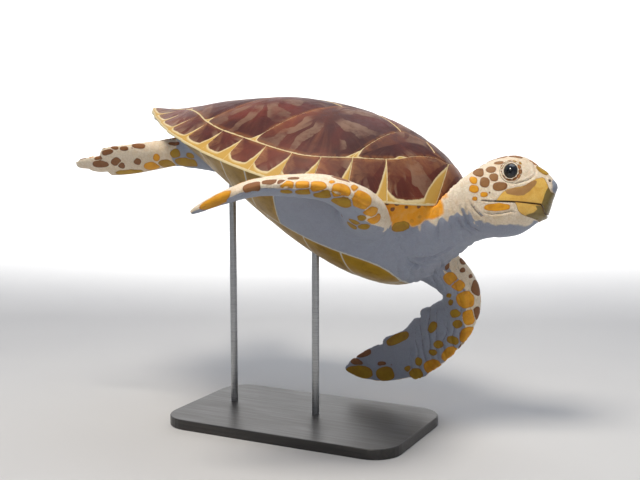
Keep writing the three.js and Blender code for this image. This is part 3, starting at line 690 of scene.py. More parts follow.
def horn_material(name, deep, main, ray, seam, belly, marginal=False):
    s = Shade(name)
    edge, under, seed, rear = s.attr("edge"), s.attr("under"), s.attr("seed"), s.attr("rear")
    ray_v = s.attr("ray", True)
    shift = s.add("ShaderNodeCombineXYZ", {0: s.math("MULTIPLY", seed, 31.0), 1: s.math("MULTIPLY", seed, 17.0), 2: s.math("MULTIPLY", seed, 7.0)}).outputs[0]
    vec = s.add("ShaderNodeVectorMath", {0: s.scale(ray_v, (3.4, 3.4, 0.55)), 1: shift}, operation="ADD").outputs[0]
    fine = s.add("ShaderNodeVectorMath", {0: s.scale(ray_v, (13.0, 13.0, 0.9)), 1: shift}, operation="ADD").outputs[0]
    broad = s.noise(7.0, 4, 0.6, warp=0.6)
    mott = s.noise(46.0, 5, 0.62, warp=0.8)
    rays = s.step(s.noise(1.0, 3, 0.55, vec), 0.5, 0.72)
    thin = s.step(s.noise(1.0, 4, 0.6, fine), 0.5, 0.68)
    col = s.mix(s.step(broad, 0.32, 0.7), deep, main)
    parts = s.add("ShaderNodeSeparateXYZ", {0: ray_v}).outputs
    away = s.step(parts[2], 0.1, 0.6)
    rays = s.math("MULTIPLY", s.math("MULTIPLY", rays, away), s.step(s.noise(11.0, 3, 0.5), 0.42, 0.66))
    col = s.mix(s.math("MULTIPLY", rays, 0.34), col, ray)
    col = s.mix(s.math("MULTIPLY", s.math("MULTIPLY", thin, away), 0.1), col, ray)
    # torn light flames: wide near the growth centre, each running out to a point
    turn = s.math("ADD", s.math("MULTIPLY", s.math("ARCTAN2", parts[1], parts[0]), 1.27), s.math("ADD", s.math("MULTIPLY", seed, 5.0), s.math("MULTIPLY", s.noise(9.0, 2, 0.5), 2.6)))
    tooth = s.math("ABSOLUTE", s.math("SUBTRACT", s.math("MULTIPLY", s.math("FRACT", turn), 2.0), 1.0))
    torn = s.math("ADD", s.math("SUBTRACT", tooth, s.math("MULTIPLY", parts[2], 0.62)), s.math("MULTIPLY", s.math("SUBTRACT", s.noise(60.0, 4, 0.65), 0.5), 0.36))
    flame = s.math("MULTIPLY", s.step(torn, 0.0, 0.09), s.step(s.noise(1.0, 2, 0.5, s.scale(vec, 0.42)), 0.44, 0.52))
    flame = s.math("MULTIPLY", flame, s.math("MULTIPLY", s.step(parts[2], 0.2, 0.42), s.step(s.noise(30.0, 4, 0.65), 0.24, 0.6)))
    col = s.mix(s.math("MULTIPLY", flame, 0.7), col, lin(138, 108, 86))
    col = s.mix(s.math("MULTIPLY", s.step(parts[2], 0.55, 1.3), 0.5), col, deep)
    col = s.mix(s.math("MULTIPLY", s.step(mott, 0.52, 0.75), 0.28), col, deep)
    # growth bands near the edge, then the pale seam itself
    band = s.math("MULTIPLY", s.step(edge, 7.5, 1.8), 0.42)
    col = s.mix(s.math("MULTIPLY", band, s.step(mott, 0.35, 0.6)), col, lin(160, 102, 52))
    ragged = s.math("ADD", edge, s.math("MULTIPLY", s.math("SUBTRACT", s.noise(120.0, 3, 0.6), 0.5), 1.5))
    col = s.mix(s.math("MULTIPLY", rear, s.step(mott, 0.3, 0.66, 0.1, 0.5)), col, lin(186, 132, 84) if marginal else lin(160, 100, 62))
    corner = s.attr("corner")
    torn = s.math("ADD", corner, s.math("MULTIPLY", s.math("SUBTRACT", s.noise(55.0, 4, 0.6), 0.5), 0.42))
    pale = s.mix(s.step(corner, 0.62, 0.98), lin(226, 210, 166), lin(196, 156, 74))
    col = s.mix(s.step(torn, 0.46, 0.6), col, s.mix(s.math("MULTIPLY", mott, 0.5), pale, lin(186, 142, 64)))
    col = s.mix(s.step(ragged, 1.2, 0.45), col, seam)
    blot = s.step(s.noise(26.0, 4, 0.6, warp=0.5), 0.5, 0.64)
    bel = s.mix(s.math("MULTIPLY", blot, 0.35), belly, lin(150, 100, 52))
    bel = s.mix(s.step(ragged, 1.6, 0.6), bel, lin(230, 212, 160))
    col = s.mix(s.step(under, 0.3, 0.7), col, bel)
    rough = s.step(mott, 0.3, 0.75, 0.4, 0.58)
    growth = s.math("SINE", s.math("MULTIPLY", edge, 2.6))
    growth = s.math("MULTIPLY", growth, s.step(edge, 40.0, 3.0))
    h = s.math("ADD", s.math("MULTIPLY", growth, 0.12), s.math("MULTIPLY", s.noise(1.0, 5, 0.7, fine), 0.8))
    h = s.math("ADD", h, s.math("MULTIPLY", s.noise(420.0, 3, 0.6), 0.25))
    return s.done(col, rough, s.bump(h, 0.35, 0.0012), **{"Coat Weight": 0.06, "Coat Roughness": 0.25, "Specular IOR Level": 0.24})


def plain_horn(name, pale, mid, dark, rough=(0.32, 0.5), seam=None):
    """plastron and inframarginal horn"""
    s = Shade(name)
    edge = s.attr("edge")
    mott = s.noise(30.0, 5, 0.6, warp=0.7)
    col = s.mix(s.step(s.noise(9.0, 4, 0.6), 0.35, 0.68), pale, mid)
    col = s.mix(s.math("MULTIPLY", s.step(mott, 0.52, 0.7), 0.5), col, dark)
    col = s.mix(s.math("MULTIPLY", s.step(s.cells(38.0, "F1").outputs["Distance"], 0.35, 0.75), 0.18), col, dark)
    ragged = s.math("ADD", edge, s.math("MULTIPLY", s.math("SUBTRACT", s.noise(110.0, 3, 0.6), 0.5), 1.4))
    col = s.mix(s.math("MULTIPLY", s.step(ragged, 9.0, 2.5), 0.45), col, lin(188, 146, 62))
    col = s.mix(s.step(ragged, 2.6, 1.3), col, seam or lin(204, 202, 190))
    h = s.math("ADD", s.math("MULTIPLY", s.math("SINE", s.math("MULTIPLY", edge, 2.2)), 0.1), s.noise(140.0, 5, 0.65))
    return s.done(col, s.step(mott, 0.3, 0.75, *rough), s.bump(h, 0.3, 0.0012), **{"Coat Weight": 0.06, "Coat Roughness": 0.3, "Specular IOR Level": 0.3})


def skin_material(name):
    s = Shade(name)
    sedge, warm, crease_shade, spot, gran = s.attr("sedge"), s.attr("warm"), s.attr("crease_shade"), s.attr("spot"), s.attr("gran")
    scol = s.attr("scol", True)
    mott = s.noise(34.0, 5, 0.62, warp=0.5)
    big = s.noise(6.0, 3, 0.5)
    col = s.mix(s.step(big, 0.36, 0.66), lin(244, 229, 206), lin(237, 217, 190))
    col = s.mix(s.math("MULTIPLY", s.step(mott, 0.5, 0.74), 0.3), col, lin(222, 202, 166))
    # small granules: pale plates with slightly darker skin between them
    warpv = s.add("ShaderNodeVectorMath", {0: s.pos, 1: s.scale(s.add("ShaderNodeTexNoise", {"Vector": s.pos, "Scale": 45.0, "Detail": 2.0}).outputs["Color"], 0.008)}, operation="ADD").outputs[0]
    cell = s.cells(150.0, vec=warpv)
    cell2 = s.cells(330.0, vec=warpv)
    grain = s.step(cell.outputs["Distance"], 0.02, 0.16)
    tint = s.cells(150.0, "F1", vec=warpv).outputs["Color"]
    lum = s.add("ShaderNodeSeparateColor", {0: tint}).outputs[0]
    col = s.mix(s.math("MULTIPLY", gran, s.step(lum, 0.55, 0.95, 0.0, 0.26)), col, lin(214, 178, 118))
    col = s.mix(s.math("MULTIPLY", gran, s.math("MULTIPLY", s.math("SUBTRACT", 1.0, grain), 0.2)), col, lin(190, 168, 128))
    # painted shade: the underside and the faces turned from the light take a darker blue-grey
    col = s.mix(s.math("MULTIPLY", s.step(s.math("ADD", s.attr("painted_shade"), s.math("MULTIPLY", s.math("SUBTRACT", mott, 0.5), 0.3)), 0.3, 0.6), 0.82), col, s.mix(big, lin(115, 131, 159), lin(133, 148, 174)))
    # orange flush with brown freckles under the shell's front edge
    col = s.mix(s.math("MULTIPLY", warm, s.step(mott, 0.25, 0.6, 0.88, 1.0)), col, s.mix(mott, lin(253, 180, 26), lin(246, 150, 8)))
    freck = s.step(s.cells(58.0, "F1", vec=warpv).outputs["Distance"], 0.34, 0.22)
    col = s.mix(s.math("MULTIPLY", spot, freck), col, lin(128, 74, 34))
    # painted shade: darker colour in the skin's concave creases
    col = s.mix(s.math("MULTIPLY", s.step(crease_shade, 0.15, 0.9), 0.75), col, lin(98, 86, 76))
    # large scales
    rag = s.math("ADD", sedge, s.math("MULTIPLY", s.math("SUBTRACT", s.noise(190.0, 3, 0.6), 0.5), 1.3))
    inside = s.step(rag, 0.05, 0.75)
    sc = s.mix(s.step(s.noise(60.0, 4, 0.6), 0.4, 0.72, 0.0, 0.45), scol, s.mix(1.0, scol, lin(196, 150, 96), "MULTIPLY"))
    # the large scales are darkened too where the painted shade lies
    sc = s.mix(s.math("MULTIPLY", s.attr("painted_shade"), 0.35), sc, s.mix(1.0, sc, lin(176, 182, 176), "MULTIPLY"))
    sc = s.mix(s.step(rag, 3.2, 0.8, 0.0, 0.35), sc, s.mix(1.0, scol, lin(190, 140, 84), "MULTIPLY"))
    col = s.mix(inside, col, sc)
    col = s.mix(s.math("MULTIPLY", s.step(s.math("ABSOLUTE", s.math("SUBTRACT", rag, 0.1)), 0.75, 0.2), 0.2), col, lin(120, 78, 40))
    # painted shade: near-black in the mouth's slit, the crease behind it and the nostrils
    col = s.mix(s.attr("dark"), col, lin(34, 24, 20))
    rough = s.step(mott, 0.3, 0.75, 0.46, 0.66)
    h = s.math("MULTIPLY", gran, s.math("ADD", s.math("MULTIPLY", grain, 1.0), s.math("MULTIPLY", s.step(cell2.outputs["Distance"], 0.02, 0.14), 0.35)))
    h = s.math("MULTIPLY", h, s.math("SUBTRACT", 1.0, s.math("MULTIPLY", inside, 0.85)))
    h = s.math("ADD", h, s.math("MULTIPLY", s.noise(240.0, 5, 0.65), 0.7))
    return s.done(col, rough, s.bump(h, 0.5, 0.0009), **{"Specular IOR Level": 0.4, "Subsurface Weight": 0.04, "Subsurface Scale": 0.01})


def beak_material(name):
    s = Shade(name)
    band, flame, rim, front = s.attr("band"), s.attr("flame"), s.attr("rim"), s.attr("front")
    grow = s.attr("grow", True)
    mott = s.noise(60.0, 5, 0.6, warp=0.6)
    streak = s.noise(1.0, 5, 0.65, s.scale(grow, (0.05, 0.9, 0.9)))
    col = s.mix(s.step(mott, 0.35, 0.7), lin(236, 192, 94), lin(224, 170, 68))
    col = s.mix(s.math("MULTIPLY", s.step(streak, 0.45, 0.7), 0.4), col, lin(196, 144, 62))
    b = s.math("ADD", band, s.math("MULTIPLY", s.math("SUBTRACT", s.noise(85.0, 4, 0.6), 0.5), 0.5))
    f = s.math("ADD", flame, s.math("MULTIPLY", s.math("SUBTRACT", s.noise(70.0, 4, 0.6), 0.5), 0.4))
    col = s.mix(s.math("MULTIPLY", s.step(f, 0.4, 0.75), 0.8), col, s.mix(mott, lin(226, 142, 34), lin(208, 118, 22)))
    col = s.mix(s.math("MULTIPLY", s.step(b, 0.4, 0.72), 0.85), col, s.mix(mott, lin(170, 124, 78), lin(146, 100, 60)))
    # the beak's front: an olive tint, darkened further as painted shade
    fr = s.math("ADD", front, s.math("MULTIPLY", s.math("SUBTRACT", s.noise(75.0, 4, 0.6), 0.5), 0.4))
    col = s.mix(s.math("MULTIPLY", s.step(fr, 0.4, 0.7), 0.8), col, s.mix(mott, lin(88, 84, 42), lin(66, 64, 32)))
    col = s.mix(s.math("MULTIPLY", s.step(rim, 1.6, 0.4), 0.65), col, lin(120, 78, 38))
    h = s.math("ADD", s.math("MULTIPLY", streak, 1.0), s.math("MULTIPLY", s.noise(300.0, 4, 0.6), 0.4))
    return s.done(col, s.step(mott, 0.3, 0.7, 0.26, 0.42), s.bump(h, 0.3, 0.0009), **{"Coat Weight": 0.25, "Coat Roughness": 0.2})


def eye_material(name):
    s = Shade(name)
    r, ang = s.attr("radial"), s.attr("spoke", True)
    fib = s.noise(1.0, 5, 0.7, s.scale(ang, (9.0, 9.0, 2.0)))
    iris = s.mix(s.step(fib, 0.35, 0.7), lin(10, 12, 17), lin(26, 31, 42))
    iris = s.mix(s.step(r, 10.2, 12.0), iris, lin(16, 17, 20))
    col = s.mix(s.step(r, 7.6, 6.9), iris, lin(4, 5, 7))
    col = s.mix(s.step(r, 13.0, 14.6), col, lin(20, 18, 18))
    return s.done(col, s.step(s.noise(80.0, 3), 0.3, 0.7, 0.05, 0.1), s.bump(fib, 0.05, 0.0004), **{"Coat Weight": 0.6, "Coat Roughness": 0.03, "Specular IOR Level": 0.4})


def claw_material(name):
    s = Shade(name)
    tip = s.attr("tip")
    mott = s.noise(160.0, 4, 0.6)
    col = s.mix(s.step(tip, 0.1, 0.9), lin(176, 138, 92), lin(232, 220, 190))
    col = s.mix(s.math("MULTIPLY", s.step(mott, 0.45, 0.7), 0.5), col, lin(120, 86, 54))
    return s.done(col, s.step(mott, 0.3, 0.7, 0.3, 0.5), s.bump(mott, 0.3, 0.0006), **{"Coat Weight": 0.1})


def base_material(name):
    """black-stained board with a faint grain"""
    s = Shade(name)
    v = s.scale(s.pos, (3.0, 60.0, 60.0))
    grain = s.noise(2.4, 6, 0.62, v, warp=0.35)
    pores = s.step(s.noise(9.0, 4, 0.7, s.scale(s.pos, (4.0, 130.0, 130.0))), 0.62, 0.74)
    col = s.mix(s.step(grain, 0.3, 0.7), lin(30, 28, 27), lin(52, 48, 45))
    col = s.mix(s.math("MULTIPLY", pores, 0.6), col, lin(16, 15, 15))
    rough = s.step(grain, 0.3, 0.7, 0.34, 0.5)
    h = s.math("SUBTRACT", s.math("MULTIPLY", grain, 0.5), pores)
    return s.done(col, rough, s.bump(h, 0.25, 0.0006), **{"Coat Weight": 0.2, "Coat Roughness": 0.3})


def rod_material(name):
    """steel rod with the fine rings of its turning"""
    s = Shade(name)
    rings = s.noise(3.0, 5, 0.7, s.scale(s.pos, (6.0, 6.0, 900.0)))
    stain = s.noise(30.0, 4, 0.6)
    col = s.mix(s.step(rings, 0.3, 0.7), lin(150, 152, 154), lin(192, 193, 194))
    col = s.mix(s.math("MULTIPLY", s.step(stain, 0.55, 0.75), 0.25), col, lin(128, 126, 122))
    return s.done(col, s.step(rings, 0.3, 0.7, 0.24, 0.4), s.bump(rings, 0.2, 0.0003), **{"Metallic": 0.95})


HORN = horn_material("scute horn", lin(60, 22, 16), lin(108, 42, 27), lin(146, 92, 60), lin(228, 208, 160), lin(214, 178, 104))
# the marginals' undersides take a darker olive: their own colour, partly darkened as painted shade
EDGE_HORN = horn_material("marginal horn", lin(74, 31, 22), lin(118, 54, 36), lin(150, 98, 64), lin(230, 210, 162), lin(170, 132, 48), marginal=True)
# plastron horn: its own olive-yellow, darkened as painted shade for the underside it covers
BELLY_HORN = plain_horn("plastron horn", lin(170, 132, 36), lin(143, 107, 24), lin(100, 70, 16))
SKIN = skin_material("skin")
BEAK = beak_material("beak horn")
EYE_MAT = eye_material("eye")
CLAW = claw_material("claw")


# ----------------------------------------------------------------------- the shell
NUCHAL_U, NUCHAL_BACK = 0.03, (float(u_x(0.062)), 46.0)
VERTEBRAL = [(0.062, 46), (0.135, 52), (0.28, 58), (0.475, 54), (0.665, 42), (0.925, 22)]
CORNER = [(0.098, 66), (0.19, 94), (0.365, 98), (0.565, 84)]
COSTAL_OUT = (0.088, 0.2, 0.488, 0.69, 0.85)
LAST_CORNER_U, LAST_RIM_U = 0.885, 0.91
MARGINALS = 11                          # pairs, without the supracaudals

seam_v = [(float(u_x(u)), float(h)) for u, h in VERTEBRAL]
corner_v = [(float(u_x(u)), float(h)) for u, h in CORNER] + [tuple(seam_point(LAST_CORNER_U))]


def finish_plates(name, plates, material, node, corner=None):
    v, f, vals, rays = merge([p[:4] for p in plates])
    if corner is not None:
        vals["corner"] = corner
    return piece(name, v, f, material, [node] if node else [], vals, {"ray": rays})


for k in range(5):
    front, back, side = seam_v[k], seam_v[k + 1], corner_v[k]
    east = [front, side, back]
    p = scute([(front[0], -front[1]), front], east, [(back[0], -back[1]), back], flip(east), dome_z, shell_under,
              (back[0] + 0.3 * (front[0] - back[0]), 0.0), 3 + k)
    finish_plates(f"vertebral_{k + 1}_horn", [p], HORN, f"vertebral_{k + 1}")

def joint_part(q, outer, front, back):
    """where a costal is pale: small wedges at its two outer corners"""
    d_out = line_gap(q[:, 0], q[:, 1], outer)
    d_side = np.minimum(line_gap(q[:, 0], q[:, 1], front), line_gap(q[:, 0], q[:, 1], back))
    wedge = np.maximum(11.0 * np.exp(-d_out / 15.0) - d_side, 8.0 * np.exp(-d_side / 17.0) - d_out)
    return np.clip(0.15 + wedge / 8.0, 0, 1)


for k in range(4):
    inner = [seam_v[0], corner_v[0], seam_v[1], corner_v[1]] if k == 0 else [corner_v[k], seam_v[k + 1], corner_v[k + 1]]
    outer = span(seam_point, COSTAL_OUT[k], COSTAL_OUT[k + 1], 24)
    fr, bk = [inner[0], tuple(outer[0])], [inner[-1], tuple(outer[-1])]
    cx = 0.3 * (inner[0][0] + outer[0][0]) / 2 + 0.7 * (inner[-1][0] + outer[-1][0]) / 2
    cy = 0.62 * inner[-1][1] + 0.38 * outer[-1][1]
    for side_name, f, sg in (("left", np.asarray, 1), ("right", flip, -1)):
        p = scute(f(inner), f(bk), f(outer), f(fr), dome_z, shell_under, (cx, sg * cy), 11 + k + (5 if sg < 0 else 0))
        finish_plates(f"costal_{side_name}_{k + 1}_horn", [p], HORN, f"costal_{side_name}_{k + 1}",
                      np.tile(joint_part(p[4] * (1, sg), outer, fr, bk), 2))


def inner_line(ua, ub):
    """the marginal seam between two places on it; it ends at the nuchal's rear corner"""
    pts = [NUCHAL_BACK] if ua <= 0.062 else []
    lo = max(ua, COSTAL_OUT[0])
    return np.concatenate([np.array(pts).reshape(-1, 2), span(seam_point, lo, ub, 10)])


def toothed(ua, ub, n=12, stand=4.0):
    """rim of one marginal; towards the tail its rear corner stands out a little"""
    u = np.linspace(ua, ub, n + 1)
    f = (u - ua) / (ub - ua)
    p, q = rim_point(np.clip(u, 0.0006, 0.9985)), seam_point(np.clip(u, 0.0006, 0.9985))
    out = stand * smooth(0.45, 0.85, u) * f ** 2.2
    return p + unit(p - q) * (out - 0.4)[:, None]


def pale_part(q, inner, rim, u, wide=33.0):
    """where a marginal is pale: a band along the rim, and a wedge at its front outer corner"""
    d_rim = line_gap(q[:, 0], q[:, 1], rim)
    d_in = line_gap(q[:, 0], q[:, 1], inner)
    d_front = line_gap(q[:, 0], q[:, 1], [tuple(inner[0]), tuple(rim[0])])
    d_back = line_gap(q[:, 0], q[:, 1], [tuple(inner[-1]), tuple(rim[-1])])
    t = d_in / (d_in + d_rim + 1e-6)
    late = 1 - 0.55 * smooth(0.45, 0.85, u)
    band = 3.5 + 2.5 * smooth(0.28, 0.6, u) + late * (12.0 * np.exp(-d_back / 10.0) + 13.0 * np.exp(-d_front / 17.0))
    wedge = late * wide * (0.6 + 0.5 * abs(math.sin(9.7 * u * 11))) * t ** 1.3 - d_front
    return np.clip(0.5 + np.maximum(band - d_rim, wedge) / 12.0, 0, 1)


rims = np.linspace(NUCHAL_U, LAST_RIM_U, MARGINALS + 1)
inners = rims + 0.008
inners[0], inners[-1] = 0.062, LAST_CORNER_U
for side_name, f, sg in (("left", np.asarray, 1), ("right", flip, -1)):
    plates, corners = [], []
    for i in range(MARGINALS):
        inner, rim = inner_line(inners[i], inners[i + 1]), toothed(rims[i], rims[i + 1])
        east, west = np.array([inner[-1], rim[-1]]), np.array([inner[0], rim[0]])
        c = 0.35 * inner[len(inner) // 2] + 0.15 * rim[len(rim) // 2] + 0.5 * inner[-1]
        p = scute(f(inner), f(east), f(rim), f(west), dome_z, shell_under, (c[0], sg * c[1]), 31 + i + (13 if sg < 0 else 0),
                  bevel=1.8, pillow=0.9, lift=1.2, rim=f(rim))
        corners.append(np.tile(pale_part(p[4] * (1, sg), inner, rim, (rims[i] + rims[i + 1]) / 2), 2))
        plates.append(p)
    finish_plates(f"marginals_{side_name}_horn", plates, EDGE_HORN, f"marginals_{side_name}", np.concatenate(corners))
    tail = np.concatenate([toothed(LAST_RIM_U, 0.9985, 14, -2.5), [(-HALF_LENGTH + 1, 0.3)]])
    inner = np.array([corner_v[4], seam_v[5], (seam_v[5][0], 0.3)])
    p = scute(f(inner), f([inner[-1], tail[-1]]), f(tail), f([inner[0], tail[0]]), dome_z, shell_under,
              (inner[-1][0] + 8, sg * 12.0), 61 + sg, bevel=1.8, pillow=0.9, rim=f(tail))
    finish_plates(f"supracaudal_{side_name}_horn", [p], EDGE_HORN, f"supracaudal_{side_name}",
                  np.tile(pale_part(p[4] * (1, sg), inner[:2], tail, 0.95), 2))

front_rim = np.concatenate([flip(rim_point(np.linspace(NUCHAL_U, 0.0006, 10))), rim_point(np.linspace(0.0006, NUCHAL_U, 10))])
p = scute([(NUCHAL_BACK[0], -NUCHAL_BACK[1]), NUCHAL_BACK], [NUCHAL_BACK, tuple(front_rim[-1])], front_rim,
          [(NUCHAL_BACK[0], -NUCHAL_BACK[1]), tuple(front_rim[0])], dome_z, shell_under, (NUCHAL_BACK[0] + 5, 0.0), 71, bevel=1.8, rim=front_rim)
finish_plates("nuchal_horn", [p], EDGE_HORN, "nuchal", np.zeros(len(p[0])))

# plastron: six pairs of scutes and the small intergular, then the bridge's inframarginals
P_SEAMS = (0.19, 0.30, 0.43, 0.57, 0.70)
P_LEAN = (0.022, 0.016, 0.004, -0.006, 0.012)


def belly_plate(south, east, north, west, seed, proud=0.0, thick=PLASTRON_THICK, step=None):
    top = lambda x, y: -belly_z(x, y) + proud
    under = lambda x, y: -belly_z(x, y) - thick
    v, f, vals, rays, true = scute(south, east, north, west, top, under, (np.mean([q[0] for q in south]), 0.0), seed, step or PLATE_STEP * 1.5, bevel=1.7, pillow=0.5, lift=0.5)
    v = v * np.array([1, 1, -1])
    return v, outward(v, [f])[0], vals, rays


def p_out(u, sg=1):
    u = np.asarray(u, float)
    return np.stack([u_x(u), sg * plastron_half(u)], -1)


u0, u1 = PL_FRONT + 0.004, PL_BACK - 0.004
mid = lambda u: (float(u_x(u)), 0.0)
plates = [belly_plate([(float(u_x(u0)), -17), (float(u_x(u0)), 17)], [(float(u_x(u0)), 17), (float(u_x(0.125)), 1.5)],
                      [(float(u_x(0.125)), -1.5), (float(u_x(0.125)), 1.5)], [(float(u_x(u0)), -17), (float(u_x(0.125)), -1.5)], 80)]
edges = [u0] + list(P_SEAMS) + [u1]
for sg in (1, -1):
    for i in range(6):
        a, b = edges[i], edges[i + 1]
        oa = a + (P_LEAN[i - 1] if i else 0)
        ob = b + (P_LEAN[i] if i < 5 else 0)
        inner = [(float(u_x(u0)), sg * 17.0), (float(u_x(0.125)), sg * 1.5), mid(0.126), mid(b)] if i == 0 else [mid(a), mid(b)]
        outer = p_out(np.linspace(oa, ob, 14), sg)
        plates.append(belly_plate(inner, [inner[-1], tuple(outer[-1])], outer, [inner[0], tuple(outer[0])], 81 + i + (7 if sg < 0 else 0)))
v, f, vals, rays = merge(plates)
piece("plastron_horn", v, f, BELLY_HORN, ["plastron"], vals, {"ray": rays})

I_SEAMS = (0.385, 0.468, 0.55, 0.632, 0.715)
for side_name, sg in (("left", 1), ("right", -1)):
    plates = []
    for i in range(4):
        u = np.linspace(I_SEAMS[i], I_SEAMS[i + 1], 12)
        inner = p_out(u, sg) + np.array([0, sg * 0.6])
        outer = np.stack([u_x(u), sg * 0.9 * half_width(u)], -1)
        plates.append(belly_plate(inner, [tuple(inner[-1]), tuple(outer[-1])], outer, [tuple(inner[0]), tuple(outer[0])], 101 + i + (9 if sg < 0 else 0), proud=0.6, thick=5.0))
    v, f, vals, rays = merge(plates)
    piece(f"inframarginals_{side_name}", v, f, BELLY_HORN, [], vals, {"ray": rays})


# ------------------------------------------------------------------------ the skin
limb = {name: Limb(rows, 10) for name, rows in LIMBS.items()}


def trunk_rings():
    out = []
    s = np.sin(np.linspace(-math.pi / 2, math.pi / 2, 49)) * FLESH_EDGE
    for u in np.r_[np.linspace(0.035, 0.12, 10), np.linspace(0.135, 0.85, 44), np.linspace(0.865, 0.935, 7)]:
        x, w = float(u_x(u)), float(half_width(u))
        lid = shell_under(x, s * w)
        top = np.c_[np.full(49, x), s * w, lid - 2.6]
        low = np.c_[np.full(49, x), s * w, np.minimum(belly_at(u, s), lid - BED - 3)]
        out.append(np.concatenate([top, low[-2:0:-1]]))
    return np.array(out)


def shell_room():
    """all the space that the carapace takes; its walls lean outwards as they rise"""
    rings = []
    y0 = np.sin(np.linspace(-math.pi / 2, math.pi / 2, 33))
    for u in np.clip((1 - np.cos(np.linspace(0, math.pi, 41))) / 2, 0.0004, 0.9996):
        x, w = float(u_x(u)), float(half_width(u))
        X, k = x * (1 + 1.2 / HALF_LENGTH), (w + 1.2) / w
        low = np.c_[np.full(33, X), y0 * w * k, shell_under(x, y0 * w) - 1.6]
        top = np.array([[X * 1.17, w * k * 1.1, 420.0], [X * 1.17, -w * k * 1.1, 420.0]])
        rings.append(np.concatenate([low, top]))
    return np.array(rings)


def temp(name, rings):
    v, f = closed_rings(rings)
    return link(raw_mesh(name, v, f), name)


def flesh_mesh():
    body = temp("t_trunk", trunk_rings())
    others = [temp("t_neck", upright_rings(refine(head_rows(), 6), 96))]
    others += [temp("t_" + n, l.rings(64)) for n, l in limb.items()]
    room = temp("t_room", shell_room())
    for o, op in [(o, "UNION") for o in others] + [(room, "DIFFERENCE")]:
        m = body.modifiers.new(o.name, "BOOLEAN")
        m.operation, m.object, m.solver = op, o, "MANIFOLD"
    r = body.modifiers.new("even", "REMESH")
    r.mode, r.voxel_size, r.adaptivity = "VOXEL", VOXEL, 0.0
    me = evaluated(body)
    drop(body, room, *others)
    return me


def loose_parts_out(v, edges, faces):
    """keeps the largest connected body"""
    lab = np.arange(len(v))
    a, b = edges[:, 0], edges[:, 1]
    while True:
        new = lab.copy()
        np.minimum.at(new, a, lab[b])
        np.minimum.at(new, b, new[a])
        new = new[new]
        if (new == lab).all():
            break
        lab = new
    ids, count = np.unique(lab, return_counts=True)
    keep = lab == ids[count.argmax()]
    ren = np.cumsum(keep) - 1
    return v[keep], ren[edges[keep[edges[:, 0]]]], [ren[f[keep[f[:, 0]]]] for f in faces]


me = flesh_mesh()
V, E, F = mesh_arrays(me)
bpy.data.meshes.remove(me)
V, E, F = loose_parts_out(V, E, F)
net = Net(E, len(V))
V = net.taubin(V, 6)


def fill_creases(V, F, net, rounds, w):
    """raises concave creases a little at a time, which leaves fillets where parts meet"""
    for k in range(rounds):
        if k % 6 == 0:
            n = vertex_normals(V, F)
        L = net.mean(V) - V
        h = (L * n).sum(1)
        V = V + n * (np.maximum(h, 0) * 0.75 * w)[:, None]
        if k % 4 == 3:
            V = V + 0.25 * w[:, None] * (net.mean(V) - V) * (h > 0)[:, None]
    return V


def near(p, centre, radius):
    return np.exp(-(np.linalg.norm(p - np.asarray(centre, float), axis=1) / radius) ** 2)


joins = (near(V, (262, -170, -106), 90) + near(V, (360, 135, -142), 90) + near(V, (-200, -100, -80), 80)
         + near(V, (-196, 150, -64), 80) + near(V, (-290, 0, -69), 60) + near(V, (360, 0, -140), 110) + near(V, (380, -90, -60), 80) + near(V, (380, 90, -60), 80))
head_xyz = to_head(V)
w_join = np.clip(joins, 0, 1) * smooth(-30, -60, head_xyz[:, 0])
V = fill_creases(V, F, net, 70, w_join)
back_edge = smooth(445, 415, V[:, 0]) * smooth(380, 400, V[:, 0]) * smooth(-30, 0, V[:, 2])
for _ in range(14):
    V = V + 0.5 * back_edge[:, None] * (net.mean(V) - V)
V = net.taubin(V, 3, np.clip(0.3 + w_join, 0, 1))


def under_shell(V):
    """keeps the flesh under the carapace"""
    x, y = V[:, 0], V[:, 1]
    s = np.abs(y) / np.maximum(1e-6, half_width(to_u(np.clip(x, -399.5, 399.5))))
    inside = (np.abs(x) < 399) & (s < 1.0)
    lid = shell_under(x, y) - 1.5
    over = inside & (V[:, 2] > lid) & (V[:, 2] < lid + 60)
    V[over, 2] = lid[over]
    return V


V = under_shell(V)


# --------------------------------------------------- finer mesh where the detail is
def finer(V, F, chosen, rounds=1):
    """halves the edges of the faces whose points are all chosen"""
    bm = bmesh.new()
    t = raw_mesh("t_fine", V, F)
    bm.from_mesh(t)
    bpy.data.meshes.remove(t)
    bm.verts.ensure_lookup_table()
    pick = set()
    for f in bm.faces:
        if all(chosen[v.index] for v in f.verts):
            pick.update(f.edges)
    bmesh.ops.subdivide_edges(bm, edges=list(pick), cuts=1, use_grid_fill=True)
    t = bpy.data.meshes.new("t_fine2")
    bm.to_mesh(t)
    bm.free()
    V, E, F = mesh_arrays(t)
    bpy.data.meshes.remove(t)
    return V, E, F


def limb_coords(L, V, idx):
    """share of the length, place across and through (mm) for points near a limb"""
    P = V[idx]
    near_i = np.zeros(len(idx), int)
    for s in range(0, len(idx), 20000):
        q = P[s:s + 20000]
        near_i[s:s + 20000] = (((q[:, None] - L.p[None]) ** 2).sum(-1)).argmin(1)
    d = P - L.p[near_i]
    along = (d * L.t[near_i]).sum(1)
    return L.w[near_i] + along / L.length, (d * L.c[near_i]).sum(1), (d * L.n[near_i]).sum(1), near_i


def limb_points(name, V, w_from, grow=6.0):
    L = limb[name]
    lo, hi = L.p.min(0) - 80, L.p.max(0) + 80
    idx = np.where(((V > lo) & (V < hi)).all(1))[0]
    w, c, n, k = limb_coords(L, V, idx)
    rad = np.hypot(c / (L.hc[k] + grow), n / (L.ht[k] + grow))
    ok = (w > w_from) & (rad < 1.35)
    return idx[ok], w[ok], c[ok], n[ok], k[ok]


LIMB_FROM = {"flipper_front_right": 0.26, "flipper_front_left": 0.2, "flipper_hind_right": 0.2, "flipper_hind_left": 0.2, "tail": 0.4}
chosen = np.zeros(len(V), bool)
chosen[to_head(V)[:, 0] > -48] = True
for name in LIMB_FROM:
    if name != "tail":
        chosen[limb_points(name, V, LIMB_FROM[name])[0]] = True
V, E, F = finer(V, F, chosen)


